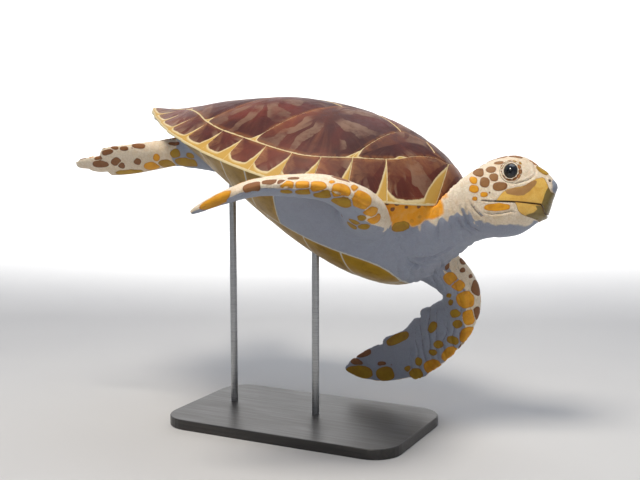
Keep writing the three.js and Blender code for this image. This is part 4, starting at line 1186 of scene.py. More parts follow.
# blades: share of the length and how much of the half chord is left, for the
# +chord and the -chord side. The small steps are the scallops of the trailing edges.
BLADE = {
    "flipper_front_left": (
        [(.3, 1), (.345, .95), (.393, .88), (.421, .74), (.458, .76), (.495, .84), (.536, .94), (.552, .92), (.56, .84), (.569, .76), (.583, .82), (.596, .87), (.614, .85), (.65, .79),
         (.679, .78), (.729, .87), (.769, .97), (.789, .95), (.797, .83), (.815, .86), (.851, .97), (.875, 1), (.94, 1), (.949, .84), (.957, 1), (.978, 1), (.985, .72), (1, .8)],
        [(.3, 1), (.4, 1), (.438, .96), (.482, .91), (.528, .88), (.575, .89), (.624, .9), (.672, .94), (.711, .99), (.737, .95), (.751, .81), (.777, .79), (.82, .78), (.862, .82), (.92, .93), (.971, 1), (1, 1)]),
    "flipper_hind_right": (
        [(.26, .84), (.308, .85), (.386, .92), (.476, .98), (.52, 1), (.72, 1), (.752, .96), (.78, .86), (.797, .72), (.808, .52), (.83, .54), (.886, .58), (.925, .62), (.967, .7), (1, .8)],
        [(.26, .84), (.365, .9), (.436, .98), (.5, 1), (.587, 1), (.687, .92), (.767, .89), (.799, .87), (.806, .56), (.84, .6), (.86, .62), (.9, .61), (.915, .54), (.924, .4), (.947, .42), (.967, .55), (1, .8)]),
    "flipper_hind_left": (
        [(.3, .95), (.5, 1), (.62, 1), (.7, .98), (.76, .95), (.79, .86), (.81, .62), (.84, .6), (.9, .6), (.95, .62), (1, .7)],
        [(.3, .95), (.5, 1), (.6, 1), (.68, .94), (.77, .9), (.8, .88), (.812, .6), (.86, .66), (.9, .64), (.92, .48), (.95, .5), (1, .7)]),
    "flipper_front_right": (
        [(.3, 1), (.55, 1), (.75, .96), (.9, 1), (1, 1)],
        [(.3, 1), (.42, .97), (.5, .9), (.53, .8), (.545, .86), (.6, .9), (.63, .8), (.645, .86), (.71, .92), (.735, .82), (.75, .88), (.82, .95), (.84, .85), (.86, .93), (.95, 1), (1, 1)]),
}


def cut_blades(V):
    t = np.linspace(0, 1.1, 1101)
    k = np.exp(-(np.arange(-12, 13) / 3.2) ** 2)
    for name, tables in BLADE.items():
        idx, w, c, n, j = limb_points(name, V, 0.24, 8.0)
        L = limb[name]
        for sign, table in zip((1, -1), tables):
            r = np.interp(t, *np.array(table).T)
            r = np.convolve(np.pad(r, 12, "edge"), k / k.sum(), "valid")
            ratio = 1 + (np.interp(w, t, r) - 1) * smooth(0.25, 0.31, w)
            side = c * sign > 0
            V[idx[side]] += L.c[j[side]] * (c * (ratio - 1))[side][:, None]
    return V


EYE_AT, EYE_AXIS = (21.6, 41.5, 40.9), (0.07, 0.98, 0.12)      # middle and outward axis, in the head frame


def eye_frame(sg):
    """centre, outward axis and the forward and upward directions across the eye, in the body frame"""
    x, z = from_head(EYE_AT[0], EYE_AT[2])
    axis = head_dir(unit([EYE_AXIS[0], sg * EYE_AXIS[1], EYE_AXIS[2]]))
    fwd = head_dir([1.0, 0, 0.0])
    fwd = unit(fwd - (fwd @ axis) * axis)
    up = np.cross(axis, fwd) * (1 if sg < 0 else -1)
    if up[2] < 0:
        up = -up
    return np.array([float(x), sg * (EYE_AT[1] + 1.2), float(z)]), axis, fwd, up


chosen = np.zeros(len(V), bool)
for sg in (1, -1):
    c, axis, fwd, up = eye_frame(sg)
    chosen |= np.linalg.norm(V - (c + axis * 10), axis=1) < 34
V, E, F = finer(V, F, chosen)
net = Net(E, len(V))
V = net.taubin(V, 3)
V = cut_blades(V)
V = net.taubin(V, 2)
N = vertex_normals(V, F)
H = to_head(V)


# ----------------------------------------------------------------------- the scales
# "V" is a dull olive orange: on the flippers' and shoulder's faces turned from the light it is the orange in painted
# shade, on the head a real olive
ORANGE, OLIVE_AND_SHADED_ORANGE, BROWN, TAN, HEAD_BROWN = lin(232, 162, 30), lin(184, 142, 30), lin(142, 94, 54), lin(182, 128, 74), lin(150, 104, 56)
TINT = {"O": ORANGE, "V": OLIVE_AND_SHADED_ORANGE, "B": BROWN, "T": TAN, "H": HEAD_BROWN}


class Scales:
    """large scales as fields round their middles: mm inside the nearest one, and its colour"""

    def __init__(self, V, N):
        n = len(V)
        self.P = V + 1.5 * np.stack([noise3(V / 13.0, 5), noise3(V / 13.0, 6), noise3(V / 13.0, 7)], -1)
        self.N = N
        self.f1, self.f2, self.r, self.rgb = np.full(n, 9.0), np.full(n, 9.0), np.ones(n), np.zeros((n, 3))

    def add(self, idx, c, n, e1, r1, r2, colour, facing=-0.05, jitter=0.0):
        d = self.P[idx] - c
        big = max(r1, r2)
        ok = ((d * d).sum(1) < (2.4 * big) ** 2) & (self.N[idx] @ n > facing)
        i, d = idx[ok], d[ok]
        e1 = unit(e1 - (e1 @ n) * n)
        e2 = np.cross(n, e1)
        a, b, k = np.abs(d @ e1) / r1, np.abs(d @ e2) / r2, (d @ n) / (0.95 * big)
        f = np.sqrt((a ** 2.5 + b ** 2.5) ** 0.8 + k * k)
        rm = math.sqrt(r1 * r2)
        first, second = f < self.f1[i], f < self.f2[i]
        self.f2[i] = np.where(first, self.f1[i], np.where(second, f, self.f2[i]))
        self.f1[i] = np.where(first, f, self.f1[i])
        self.r[i] = np.where(first, rm, self.r[i])
        self.rgb[i[first]] = np.array(colour[:3]) * (1 + jitter)

    def depth(self, gap):
        return np.minimum((1 - self.f1) * self.r, (self.f2 - self.f1) * self.r / 2 - gap / 2)


# middles of the large scales: share of the limb's length, angle round it, the long
# axis's angle from the limb's length, radii, colour
LIMB_SCALES = {
    "flipper_front_right": [
        (0.619, 10, 4, 13.5, 8, "O"), (0.665, 9, 175, 12, 9.5, "O"), (0.582, 7, 12, 14.5, 10.5, "O"), (0.529, 9, 27, 17.5, 13, "O"), (0.499, 35, 59, 11, 6.5, "O"),
        (0.477, 355, 9, 21.9, 15.8, "O"), (0.434, 333, 23, 17.5, 10, "O"), (0.397, 323, 0, 15.5, 13, "O"), (0.553, 32, 40, 6.8, 4.4, "O"), (0.772, 14, 0, 16, 11.6, "B"),
        (0.716, 30, 0, 13.7, 8, "B"), (0.682, 26, 0, 8, 6.5, "B"), (0.649, 44, 0, 11, 6, "B"), (0.53, 66, 0, 17, 8, "B"), (0.4, 268, 0, 12, 9.5, "V"),
        (0.428, 297, 160, 10.5, 8.5, "V"), (0.345, 252, 0, 16, 10.5, "V"), (0.368, 284, 163, 14.5, 11.1, "V"), (0.668, 331, 14, 11, 8, "V"), (0.619, 331, 7, 13.5, 8.8, "V"),
        (0.571, 328, 22, 15.5, 11, "V"), (0.513, 320, 160, 19, 14.5, "V"), (0.905, 4, 2, 36, 9, "O")],
    "flipper_front_left": [
        (0.242, 256, 173, 14.6, 13.7, "O"), (0.279, 251, 10, 14.1, 12.7, "O"), (0.34, 243, 175, 20.7, 19.1, "O"), (0.326, 189, 41, 18.3, 15.5, "B"), (0.251, 210, 57, 6.9, 5.1, "B"),
        (0.241, 180, 62, 14.4, 8.2, "B"), (0.202, 234, 125, 15, 5, "B"), (0.286, 197, 58, 7.5, 4.4, "B"), (0.302, 294, 133, 10.3, 5.5, "V"),
        (0.366, 283, 159, 10.7, 5.5, "V"), (0.412, 260, 154, 12.9, 9.9, "V"), (0.447, 244, 154, 11.8, 9.5, "V"), (0.541, 282, 4, 15.4, 8.7, "V"), (0.515, 233, 119, 13.6, 10.3, "V"),
        (0.569, 250, 164, 11, 9.3, "V"), (0.609, 245, 160, 9.2, 7.2, "V"), (0.4, 220, 29, 19.5, 14.5, "O"), (0.384, 190, 20, 17.2, 9.5, "B"), (0.469, 200, 21, 23.6, 17.5, "O"),
        (0.567, 208, 7, 22.3, 18, "O"), (0.647, 215, 165, 20, 18, "O"), (0.717, 219, 171, 15.7, 14, "V"), (0.68, 245, 42, 10.2, 8.1, "V"), (0.734, 241, 180, 8.1, 7, "V"),
        (0.828, 244, 179, 22, 17.4, "V"), (0.94, 243, 176, 34.9, 16, "V"), (0.712, 310, 175, 30, 11, "V"), (0.909, 333, 4, 22.6, 7.8, "B"), (0.944, 302, 160, 16.5, 7.3, "B"),
        (0.829, 273, 171, 11.1, 5, "B"), (0.79, 264, 175, 2.9, 2.5, "B")],
    "flipper_hind_right": [
        (0.523, 347, 169, 15.1, 6, "B"), (0.678, 348, 168, 9.8, 4.6, "B"), (0.732, 325, 8, 15.3, 6.2, "B"), (0.617, 336, 171, 10.9, 5.5, "B"), (0.565, 336, 169, 4, 2.2, "B"),
        (0.305, 346, 173, 15.4, 5, "B"), (0.82, 302, 15, 12.4, 5.2, "B"), (0.817, 280, 3, 19.5, 9.6, "B"), (0.704, 284, 29, 14.4, 9.1, "B"), (0.68, 267, 50, 10.3, 6.5, "B"),
        (0.565, 276, 47, 10.2, 7.1, "B"), (0.433, 285, 55, 10.6, 7.2, "O"), (0.495, 246, 20, 17.5, 13.8, "O"), (0.384, 252, 10, 17.5, 15, "V"), (0.298, 300, 27, 12.9, 10, "V"),
        (0.24, 268, 5, 26, 15, "V"), (0.66, 232, 179, 33, 9, "V"), (0.2, 300, 0, 10, 8, "V")],
    "flipper_hind_left": [], "tail": [],
}
# faces that get scales in rows of the same kind: angles, and where the leading edge is
ROWS_ON = {"flipper_front_left": ((18, 160), 180), "flipper_front_right": ((88, 212), 0), "flipper_hind_right": ((42, 150), 0), "flipper_hind_left": ((0, 360), 0), "tail": ((0, 360), 90)}
HEAD_SCALES = [
    (-37, 70.9, 39.6, 10.9, 13.8, "H"), (-15.1, 60.4, 45, 10, 8.4, "H"), (-7.9, 64.6, 28.3, 9.9, 8.5, "H"), (-24.2, 73.5, 15.5, 9.9, 11.3, "H"), (3.3, 64.2, 9.2, 14, 10, "H"),
    (-44.5, 84.7, 18.4, 7.9, 8.5, "O"), (-41.9, 85.4, .6, 10, 8, "O"), (-25.1, 75.4, -9.7, 7.9, 5.9, "O"), (-40.2, 83.6, -18.1, 5, 4.9, "O"), (-15.2, 70.7, -4.9, 2.8, 2.8, "H"),
    (-3.8, 48, 60.5, 10.5, 5.9, "H"), (4.4, 52.3, 53.5, 2.6, 3.4, "H"), (5.6, 56.4, 44.9, 2.4, 2.8, "H"), (6.3, 58.7, 38.6, 2.2, 2.6, "H"),
    (0.8, 62.0, -32.3, 26.5, 7.6, "O")]
# brown scales on the neck's side and along the shoulder, in the body frame
BODY_SCALES = [(307, 195, -64, 5, 4, "B"), (317, 180, -71, 5, 4.5, "B"), (323, 181, -56, 6.5, 5.5, "B"), (353, 145, -47, 5, 4.4, "B"), (337, 163, -56, 4, 3.6, "B"),
               (367, 109, -18, 9.5, 7.5, "B"), (371, 87, 0, 4.5, 4, "B"), (370, 80, 7, 3.2, 3, "B"), (333, 147, -96, 19, 11, "V")]
HEAD_TOP = [(76, 14, 49, 15, 11, "V"), (60, 11, 66, 11, 9.5, "T"), (38, 0, 78, 12.5, 8.5, "H"), (10, 0, 84, 19, 15.5, "H"), (26, 24, 74, 15, 9, "H"),
            (-4, 27, 80, 13, 10, "H"), (-29, 17, 77, 17, 13.5, "H"), (-58, 12, 72, 10, 8.5, "O"), (-55, 38, 68, 9, 8, "H"), (-80, 28, 60, 7.5, 7, "O"), (-84, 0, 62, 8, 7, "H")]


def hidden_rows(name, rng):
    """leading-edge row, trailing-edge row and a few between"""
    (a0, a1), lead = ROWS_ON[name]
    L, out = limb[name], []
    front = name.startswith("flipper_front")
    w0 = {"flipper_front_left": 0.2, "flipper_front_right": 0.32, "flipper_hind_right": 0.26, "flipper_hind_left": 0.22, "tail": 0.42}[name]
    have = [(L.at(w, d)[0], max(a, b)) for w, d, _, a, b, _ in LIMB_SCALES[name]]
    for k in range(900):
        w, deg = w0 + (0.96 - w0) * rng.random(), a0 + (a1 - a0) * rng.random()
        off = abs((deg - lead + 180) % 360 - 180)
        edge = 1.0 if off < 40 else (0.55 if off > 145 else 0.62 - 0.2 * w)
        if rng.random() > (1.0 if k < 260 else edge):
            continue
        big = k < 260
        if big and not (off < 48 or off > 150):
            continue
        i = min(int(np.interp(w, L.w, np.arange(len(L.w)))), len(L.w) - 1)
        room = max(4.0, min(L.hc[i] * 0.42, 15.0 if front else 10.5))
        r = room * (rng.uniform(0.72, 1.0) if big else rng.uniform(0.38, 0.62)) * (0.62 if off > 150 else 1.0)
        p = L.at(w, deg)[0]
        if any(np.linalg.norm(p - q) < (r + s) * (1.0 if big else 1.12) for q, s in have):
            continue
        have.append((p, r))
        out.append((w, deg, 0, r * rng.uniform(1.0, 1.25), r * rng.uniform(0.85, 1.0), "B" if rng.random() < (0.35 if front else 0.7) else "O"))
    return out


nape = 5.5 * np.exp(-((H[:, 0] + 44) / 27) ** 2) * smooth(15, 70, H[:, 2]) * (H[:, 0] > -120)
throat_cut = 11.0 * np.exp(-((H[:, 0] + 68) / 38) ** 2) * smooth(-20, -80, H[:, 2]) * smooth(120, 50, np.abs(H[:, 1])) * smooth(322, 352, V[:, 0])
V[:, 2] += throat_cut - nape
N = vertex_normals(V, F)
H = to_head(V)
field = Scales(V, N)
rng = np.random.default_rng(41)
for name, L in limb.items():
    idx = limb_points(name, V, 0.12 if name != "tail" else 0.35, 14.0)[0]
    for w, deg, turn, rt, rc, c in LIMB_SCALES[name] + hidden_rows(name, rng):
        p, n, t = L.at(w, deg)
        t = unit(t - (t @ n) * n)
        a = math.radians(turn)
        field.add(idx, p, n, t * math.cos(a) + np.cross(n, t) * math.sin(a), rt * 1.05, rc * 1.05, TINT[c], jitter=rng.uniform(-0.1, 0.08))
idx = np.where(H[:, 0] > -110)[0]
head_pts = V[idx]


def head_site(x, y, z):
    """nearest skin point to a place given in the head frame, with its normal"""
    bx, bz = from_head(x, z)
    q = np.array([float(bx), y, float(bz)])
    k = ((head_pts - q) ** 2).sum(1).argmin()
    close = np.where(((head_pts - head_pts[k]) ** 2).sum(1) < 36.0)[0]
    return head_pts[k], unit(N[idx[close]].mean(0))


for x, y, z, r1, r2, c in HEAD_SCALES + HEAD_TOP:
    for sg in ((1, -1) if y else (1,)):
        p, n = head_site(x, sg * y, z)
        field.add(idx, p, n, head_dir([1.0, 0, 0]), r1, r2, TINT[c], facing=0.2, jitter=rng.uniform(-0.08, 0.06))
body_idx = np.where((V[:, 0] > 270) & (V[:, 0] < 420))[0]
body_pts = V[body_idx]
for x, y, z, r1, r2, c in BODY_SCALES:
    for sg in (1, -1):
        k = ((body_pts - (x, sg * y, z)) ** 2).sum(1).argmin()
        p, n = body_pts[k], N[body_idx[k]]
        field.add(body_idx, p, n, np.array([0.75, -0.55 * sg, 0.35]), r1, r2, TINT[c], facing=0.2)
on_flipper = smooth(-40, -70, H[:, 0])
sedge = field.depth(1.5)
sedge = np.where(field.f1 > 8, -9.0, sedge)

# ---------------------------------------------------------------- folds, lids, dents
def ridged(p, direction, pitch, warp, seed, reach=60.0):
    """rounded folds with tight creases, running across a direction"""
    q = p @ unit(direction) + warp * fbm(p / reach, 2, seed)
    s = np.abs(np.sin(np.pi * q / pitch))
    return s ** 0.55 - 0.72


lift = 0.95 * smooth(-0.2, 2.0, sedge) * (1 - 0.25 * on_flipper)
patch = 0.45 + 0.75 * smooth(-0.25, 0.45, fbm(V / 70.0, 2, 21))
neck_zone = smooth(300, 345, V[:, 0]) * smooth(-44, -74, H[:, 0])
lift += neck_zone * patch * 3.4 * ridged(V, (0.93, 0, 0.36), 19.0, 20.0, 31) * (1 - 0.6 * smooth(0, 1.5, sedge))
lift += neck_zone * 0.7 * ridged(V, (0.8, 0.1, 0.6), 8.0, 10.0, 33, 30.0)
throat = neck_zone * smooth(20, -60, V[:, 2])
lift += throat * 2.4 * ridged(V, (0.9, 0, 0.43), 30.0, 30.0, 35, 80.0)


def crease(V, line, depth, width):
    """a fold line: a narrow valley with a soft roll on either side"""
    P = np.asarray(line, float)
    best = np.full(len(V), 1e9)
    lo, hi = P.min(0) - 30, P.max(0) + 30
    i = np.where(((V > lo) & (V < hi)).all(1))[0]
    q = V[i]
    b = np.full(len(i), 1e9)
    share = np.zeros(len(i))
    for k in range(len(P) - 1):
        e = P[k + 1] - P[k]
        t = np.clip(((q - P[k]) @ e) / (e @ e), 0, 1)
        d = np.linalg.norm(q - P[k] - t[:, None] * e, axis=1)
        m = d < b
        b[m], share[m] = d[m], ((k + t) / (len(P) - 1))[m]
    best[i] = b
    fade = np.ones(len(V))
    fade[i] = 0.35 + 0.65 * np.sin(np.pi * np.clip(share, 0, 1)) ** 0.5
    return fade * (-depth * np.exp(-(best / width) ** 2) + 0.45 * depth * np.exp(-((best - 2.3 * width) / (1.5 * width)) ** 2))


# fold lines, in the body frame; the head's and neck's come on both sides
FOLDS = [
    ([(360, -87, -141), (375, -67, -135), (390, -50, -124), (405, -43, -108), (416, -35, -97)], 4.6, 3.6, True),
    ([(418, -96, -18), (421, -94, -24), (428, -88, -31), (435, -80, -38), (441, -70, -46)], 3.6, 2.8, True),
    ([(427, -91, -12), (430, -88, -20), (438, -82, -30), (444, -72, -40)], 3.2, 2.6, True),
    ([(430, -83, -38), (438, -74, -47), (447, -60, -52), (459, -41, -55)], 3.4, 2.8, True),
    ([(421, -88, -44), (431, -74, -56), (441, -56, -63), (448, -38, -68)], 3.2, 2.8, True),
    ([(430, -88, -3), (446, -77, -16), (458, -67, -23)], 2.8, 2.4, True),
    ([(140, -447, -150), (176, -455, -126), (220, -448, -108), (262, -431, -96), (295, -407, -89), (322, -375, -88), (335, -343, -91)], 2.6, 2.8, False),
    ([(355, -62, -163), (367, -63, -146), (380, -45, -136), (390, -5, -131)], 4.6, 3.4, True),
    ([(352, -100, -150), (362, -84, -160), (372, -60, -158), (380, -30, -150)], 4.4, 3.4, True)]
def laid(line, sg=1):
    """a line's points moved to the nearest skin"""
    q = np.array(line, float) * (1, sg, 1)
    return [V[((V - p) ** 2).sum(1).argmin()] for p in q]


for line, depth, width, both in FOLDS:
    for sg in ((1, -1) if both else (1,)):
        lift += crease(V, laid(line, sg), depth, width)
for c, rad, direction, amp in (((276, -190, -106), 62, (0.5, 0.86, 0), 2.6), ((360, 150, -148), 60, (0.2, 0.8, -0.5), 2.6), ((300, -150, -80), 70, (0.6, 0.8, 0.1), 2.2),
                               ((392, 196, -196), 44, (-0.2, 0.5, -0.85), 2.2), ((-200, -100, -80), 55, (1, 0.2, 0.3), 1.3), ((-200, 160, -64), 55, (0.7, -0.7, 0), 1.3),
                               ((-285, 0, -68), 45, (1, 0, 0), 1.1), ((290, -316, -90), 46, (0.5, 0.85, 0.0), 1.2)):
    m = near(V, c, rad)
    lift += m * amp * patch * ridged(V, direction, 12.0, 15.0, 37 + int(abs(c[0])) % 7, 42.0) * (1 - 0.8 * smooth(-0.5, 1.0, sedge))
lift += 0.22 * noise3(V / 5.5, 50) * (1 - smooth(-0.5, 0.5, sedge)) + 0.55 * fbm(V / 38.0, 2, 51)
# wrinkles between the scales of the blades, following their length
for name in ("flipper_front_right", "flipper_front_left"):
    i_, w_, c_, n_, k_ = limb_points(name, V, 0.24)
    L = limb[name]
    across = c_ / L.hc[k_]
    fade = smooth(0.24, 0.34, w_) * smooth(0.2, -1.2, sedge[i_])
    q = (w_ * L.length + 12 * fbm(V[i_] / 40.0, 2, 61)) / 15.0 + across * 1.4
    lift[i_] += fade * 0.1 * (np.abs(np.sin(np.pi * q)) ** 0.7 - 0.6)
# the flesh is let in beneath the shell's horn and the beak
u_, s_ = to_u(np.clip(V[:, 0], -399, 399)), np.abs(V[:, 1]) / np.maximum(1, half_width(to_u(np.clip(V[:, 0], -399, 399))))
on_belly = (np.abs(V[:, 2] - belly_z(V[:, 0], V[:, 1])) < 7) & (np.abs(V[:, 0]) < 395) & (N[:, 2] < 0.2)
pl = on_belly & (np.abs(V[:, 1]) < plastron_half(u_)) & (u_ > PL_FRONT) & (u_ < PL_BACK)
infra = on_belly & (u_ > I_SEAMS[0]) & (u_ < I_SEAMS[-1]) & (s_ < 0.9)
covered = (pl | infra).astype(float)
for _ in range(2):
    covered = np.minimum(covered, net.mean(covered))
lift = lift * (1 - covered) - 3.0 * covered
V = V + N * lift[:, None]

# head modelling: cheek, brow, snout, jaw line, nostrils
hx, hy, hz = H[:, 0], H[:, 1], H[:, 2]
side = np.sign(hy)
shape = np.zeros(len(V))
shape += 2.2 * np.exp(-((hx + 12) / 26) ** 2 - ((hz - 2) / 26) ** 2) * smooth(30, 55, np.abs(hy))
shape -= 1.6 * np.exp(-((hx - 58) / 12) ** 2 - ((hz - 32) / 13) ** 2)
shape += 1.5 * np.exp(-((hx - 24) / 20) ** 2 - ((hz - 66) / 8) ** 2)
shape += 2.0 * np.exp(-((hx - 82) / 20) ** 2 - ((hz - 46) / 15) ** 2) * smooth(40, 12, np.abs(hy))
for sg in (1, -1):
    for line, depth, width in (([(-29, 74, -20.5), (-16, 69, -20.8), (-3, 65, -20.3)], 2.4, 1.5), ([(-25, 69, -44), (-10, 62, -46), (8, 56.5, -43.5), (26, 53, -38), (35, 49, -42)], 1.7, 1.9),
                               ([(68, 33, 38), (60.8, 40, 30), (52, 46.5, 23.6), (37.7, 54, 18), (24, 59, 15.5)], 1.5, 1.8), ([(60, 12, 64), (62, 22, 59), (66.5, 29, 47), (67, 31, 40)], 1.0, 2.0),
                               ([(31, 54, -22), (33, 52, -30), (34, 50, -38)], 1.2, 1.5)):
        q = np.array(line)
        bx, bz = from_head(q[:, 0], q[:, 2])
        shape += crease(V, laid(np.c_[bx, q[:, 1], bz], sg), depth, width)
V = V + N * shape[:, None]
nostril = np.zeros(len(V))
FWD_, UP_ = head_dir([1.0, 0, 0]), head_dir([0, 0, 1.0])


def drawn_in(h):
    """the jaw's tip and chin are finer than the plain loft of the head"""
    back = 4.6 * smooth(80, 100, h[:, 0]) * smooth(22, -8, h[:, 2])
    rise = 9.5 * smooth(22, 74, h[:, 0]) * smooth(-36, -60, h[:, 2])
    return rise[:, None] * UP_ - back[:, None] * FWD_


NOSE = (93.2, 16.3, 28.8)
H = to_head(V)
for sg in (1, -1):
    d = np.sqrt(((H[:, 0] - NOSE[0]) ** 2 + (H[:, 1] - sg * NOSE[1]) ** 2 + (H[:, 2] - NOSE[2]) ** 2))
    V = V - N * (4.2 * smooth(3.6, 1.4, d) - 1.0 * np.exp(-((d - 4.8) / 1.4) ** 2))[:, None]
    nostril = np.maximum(nostril, smooth(3.9, 2.6, d))

eye_zone = np.zeros(len(V))
lid = np.zeros(len(V))
eye_polar = []
for sg in (1, -1):
    c, axis, fwd, up = eye_frame(sg)
    d = V - c
    a, f, u2 = d @ axis, d @ fwd, d @ up
    rho = np.sqrt((f / 12.9) ** 2 + (u2 / 15.6) ** 2)
    turn = np.degrees(np.arctan2(u2, f))
    ok = (a > -4) & (rho < 3.2)
    ball = np.sqrt(np.maximum(EYE["r"] ** 2 - f * f / 0.96 ** 2 - u2 * u2 / 1.09 ** 2, 0))
    # the lids' rim stands just proud of the ball; inside it the skin goes under the ball
    out = a + 2.0 * np.exp(-((rho - 1.13) / 0.09) ** 2) - 1.5 * np.exp(-((rho - 1.33) / 0.06) ** 2) + 0.8 * np.exp(-((rho - 1.46) / 0.08) ** 2) - 0.9 * np.exp(-((rho - 1.62) / 0.05) ** 2)
    out += 1.6 * np.exp(-((rho - 1.3) / 0.25) ** 2) * smooth(0.2, 1.0, u2 / 15)
    tucked = np.minimum(ball - 2.6, 4.5)
    t = smooth(1.04, 0.95, rho)
    new = np.where(rho < 1.04, out * (1 - t) + tucked * t, out)
    V = np.where(ok[:, None], V + axis * (new - a)[:, None], V)
    eye_zone = np.maximum(eye_zone, ok * smooth(1.85, 1.45, rho))
    lid = np.maximum(lid, ok * smooth(1.26, 1.14, rho))
    eye_polar.append((ok & (rho < 2.2), rho, turn))
V = V + 0.35 * eye_zone[:, None] * (net.mean(V) - V)
sedge = np.where(eye_zone > 0.35, np.minimum(sedge, 1.5 - 8 * eye_zone), sedge)
# small scales round the lids: angle from straight ahead, half width, distance, half depth, colour
LID_SCALES = [(33, 18, 1.37, .25, "T"), (0, 18, 1.44, .31, "H"), (-32, 16, 1.39, .27, "T"), (-62, 18, 1.32, .22, "H"), (-96, 20, 1.27, .15, "H"), (-130, 13, 1.22, .1, "H"),
              (50, 9, 1.8, .17, "V"), (76, 12, 1.54, .13, "V"), (101, 12, 1.54, .13, "T"), (127, 8, 1.55, .1, "H"), (148, 7, 1.58, .1, "H"), (168, 6, 1.42, .08, "H"), (188, 6, 1.4, .075, "H")]
for ok, rho, turn in eye_polar:
    for a0, da, r0, dr, c in LID_SCALES:
        off = (turn - a0 + 180) % 360 - 180
        s = (1 - np.sqrt((off / da) ** 2 + ((rho - r0) / dr) ** 2)) * 3.2
        m = ok & (s > sedge)
        sedge = np.where(m, s, sedge)
        field.rgb[m & (s > -0.6)] = TINT[c][:3]


# the beak's bed
def signed_poly(x, z, poly):
    """mm inside (+) or outside (-) a closed outline"""
    P = np.asarray(poly, float)
    Q = np.roll(P, -1, 0)
    best = np.full(x.shape, 1e9)
    inside = np.zeros(x.shape, bool)
    for (x0, z0), (x1, z1) in zip(P, Q):
        ex, ez = x1 - x0, z1 - z0
        t = np.clip(((x - x0) * ex + (z - z0) * ez) / (ex * ex + ez * ez), 0, 1)
        best = np.minimum(best, np.hypot(x - x0 - t * ex, z - z0 - t * ez))
        cross = (z0 > z) != (z1 > z)
        inside ^= cross & (x < (x1 - x0) * (z - z0) / np.where(z1 == z0, 1e-9, z1 - z0) + x0)
    return np.where(inside, best, -best)


MOUTH = [(-3, -20.4), (24, -20), (64, -20.4), (80.5, -21), (83.4, -25), (87, -37), (100, -41), (116, -44.5)]
UPPER = [(116, 3), (99, 6.4), (92.5, 16), (89, 24), (84.3, 32.6), (79.7, 34.8), (70, 30.4), (61.3, 23.5), (52.4, 15.2), (43.3, 11.2), (32.5, 8.6), (17.6, 4.2), (8.3, -3), (1, -13.5)]
LOWER = [(33, -20.2), (36, -27), (38.5, -36), (45.9, -44.5), (56, -51), (66, -57), (80, -64), (116, -72)]
BEAK_UP, BEAK_LOW = MOUTH + UPPER, LOWER + MOUTH[:1:-1]


H = to_head(V)
hx, hy, hz = H[:, 0], H[:, 1], H[:, 2]
ahead = hx > -30
bed = np.where(ahead, signed_poly(hx, hz, MOUTH[:2] + [(31, -20.2)] + LOWER[1:] + UPPER), -50.0)
lips = np.where(ahead, line_gap(hx, hz, MOUTH), 50.0)
# painted shade along the mouth's slit and the crease behind it, and inside the nostrils
dark = smooth(2.4, 1.1, lips) * ahead + 0.85 * smooth(1.5, 0.4, np.where(ahead & (hx < -2), line_gap(hx, hz, [(-28, -20.6), (-3, -20.4)]), 50.0))
dark = np.maximum(dark, 0.8 * nostril)
V = V - N * (2.0 * smooth(0.2, 3.0, bed) + 2.2 * smooth(2.6, 1.2, lips) * smooth(-2.0, 1.0, bed))[:, None]
V = V + drawn_in(H)

V = under_shell(V)
V = V + 0.12 * (net.mean(V) - V)
N = vertex_normals(V, F)
H = to_head(V)

# what the colours need
edge_len = np.zeros(len(V))
el = np.linalg.norm(V[E[:, 0]] - V[E[:, 1]], axis=1)
edge_len = (np.bincount(E[:, 0], el, len(V)) + np.bincount(E[:, 1], el, len(V))) / net.deg
# how concave the skin is, for the painted shade in its creases
crease_shade = ((net.mean(V) - V) * N).sum(1) / np.maximum(edge_len, 0.3) ** 2
for _ in range(2):
    crease_shade = net.mean(crease_shade)
crease_shade = np.clip(crease_shade * 7.0, 0, 1)
warm = np.zeros(len(V))
spot = np.zeros(len(V))
for sg in (1, -1):
    for c, r, k in (((330, 166, -69), 32, 1.0), ((350, 146, -56), 32, 1.0), ((367, 123, -36), 32, 1.0), ((373, 96, -14), 28, 1.0), ((308, 192, -66), 30, 1.0), ((331, 155, -88), 24, 0.9),
                    ((352, 139, -66), 24, 0.9), ((372, 76, 6), 22, 0.8), ((340, 129, -47), 36, 1.0), ((311, 128, -58), 36, 1.0)):
        warm = np.maximum(warm, k * near(V, (c[0], sg * c[1], c[2]), r))
    for c, r in (((345, 150, -48), 30), ((370, 100, -6), 30)):
        spot = np.maximum(spot, 0.6 * near(V, (c[0], sg * c[1], c[2]), r))
warm = smooth(0.4, 0.56, warm + 0.2 * fbm(V / 22.0, 3, 71))
# painted shade: where the skin takes the darker blue-grey, from its smoothed normals turning downwards
calm = N
for _ in range(5):
    calm = net.mean(calm)
calm = unit(calm)[:, 2]
on_head = smooth(-62, -30, H[:, 0])
painted_shade = smooth(-0.02 - 0.4 * on_head, -0.3 - 0.42 * on_head, calm + 0.1 * fbm(V / 30.0, 3, 77))
# painted shade on the front of the snout
snout = np.linalg.norm((H - (104, 0, 20)) / (1.0, 1.25, 1.0), axis=1)
painted_shade = np.maximum(painted_shade, 0.56 * on_head * smooth(22, 12, snout + 4 * fbm(V / 9.0, 3, 78)))
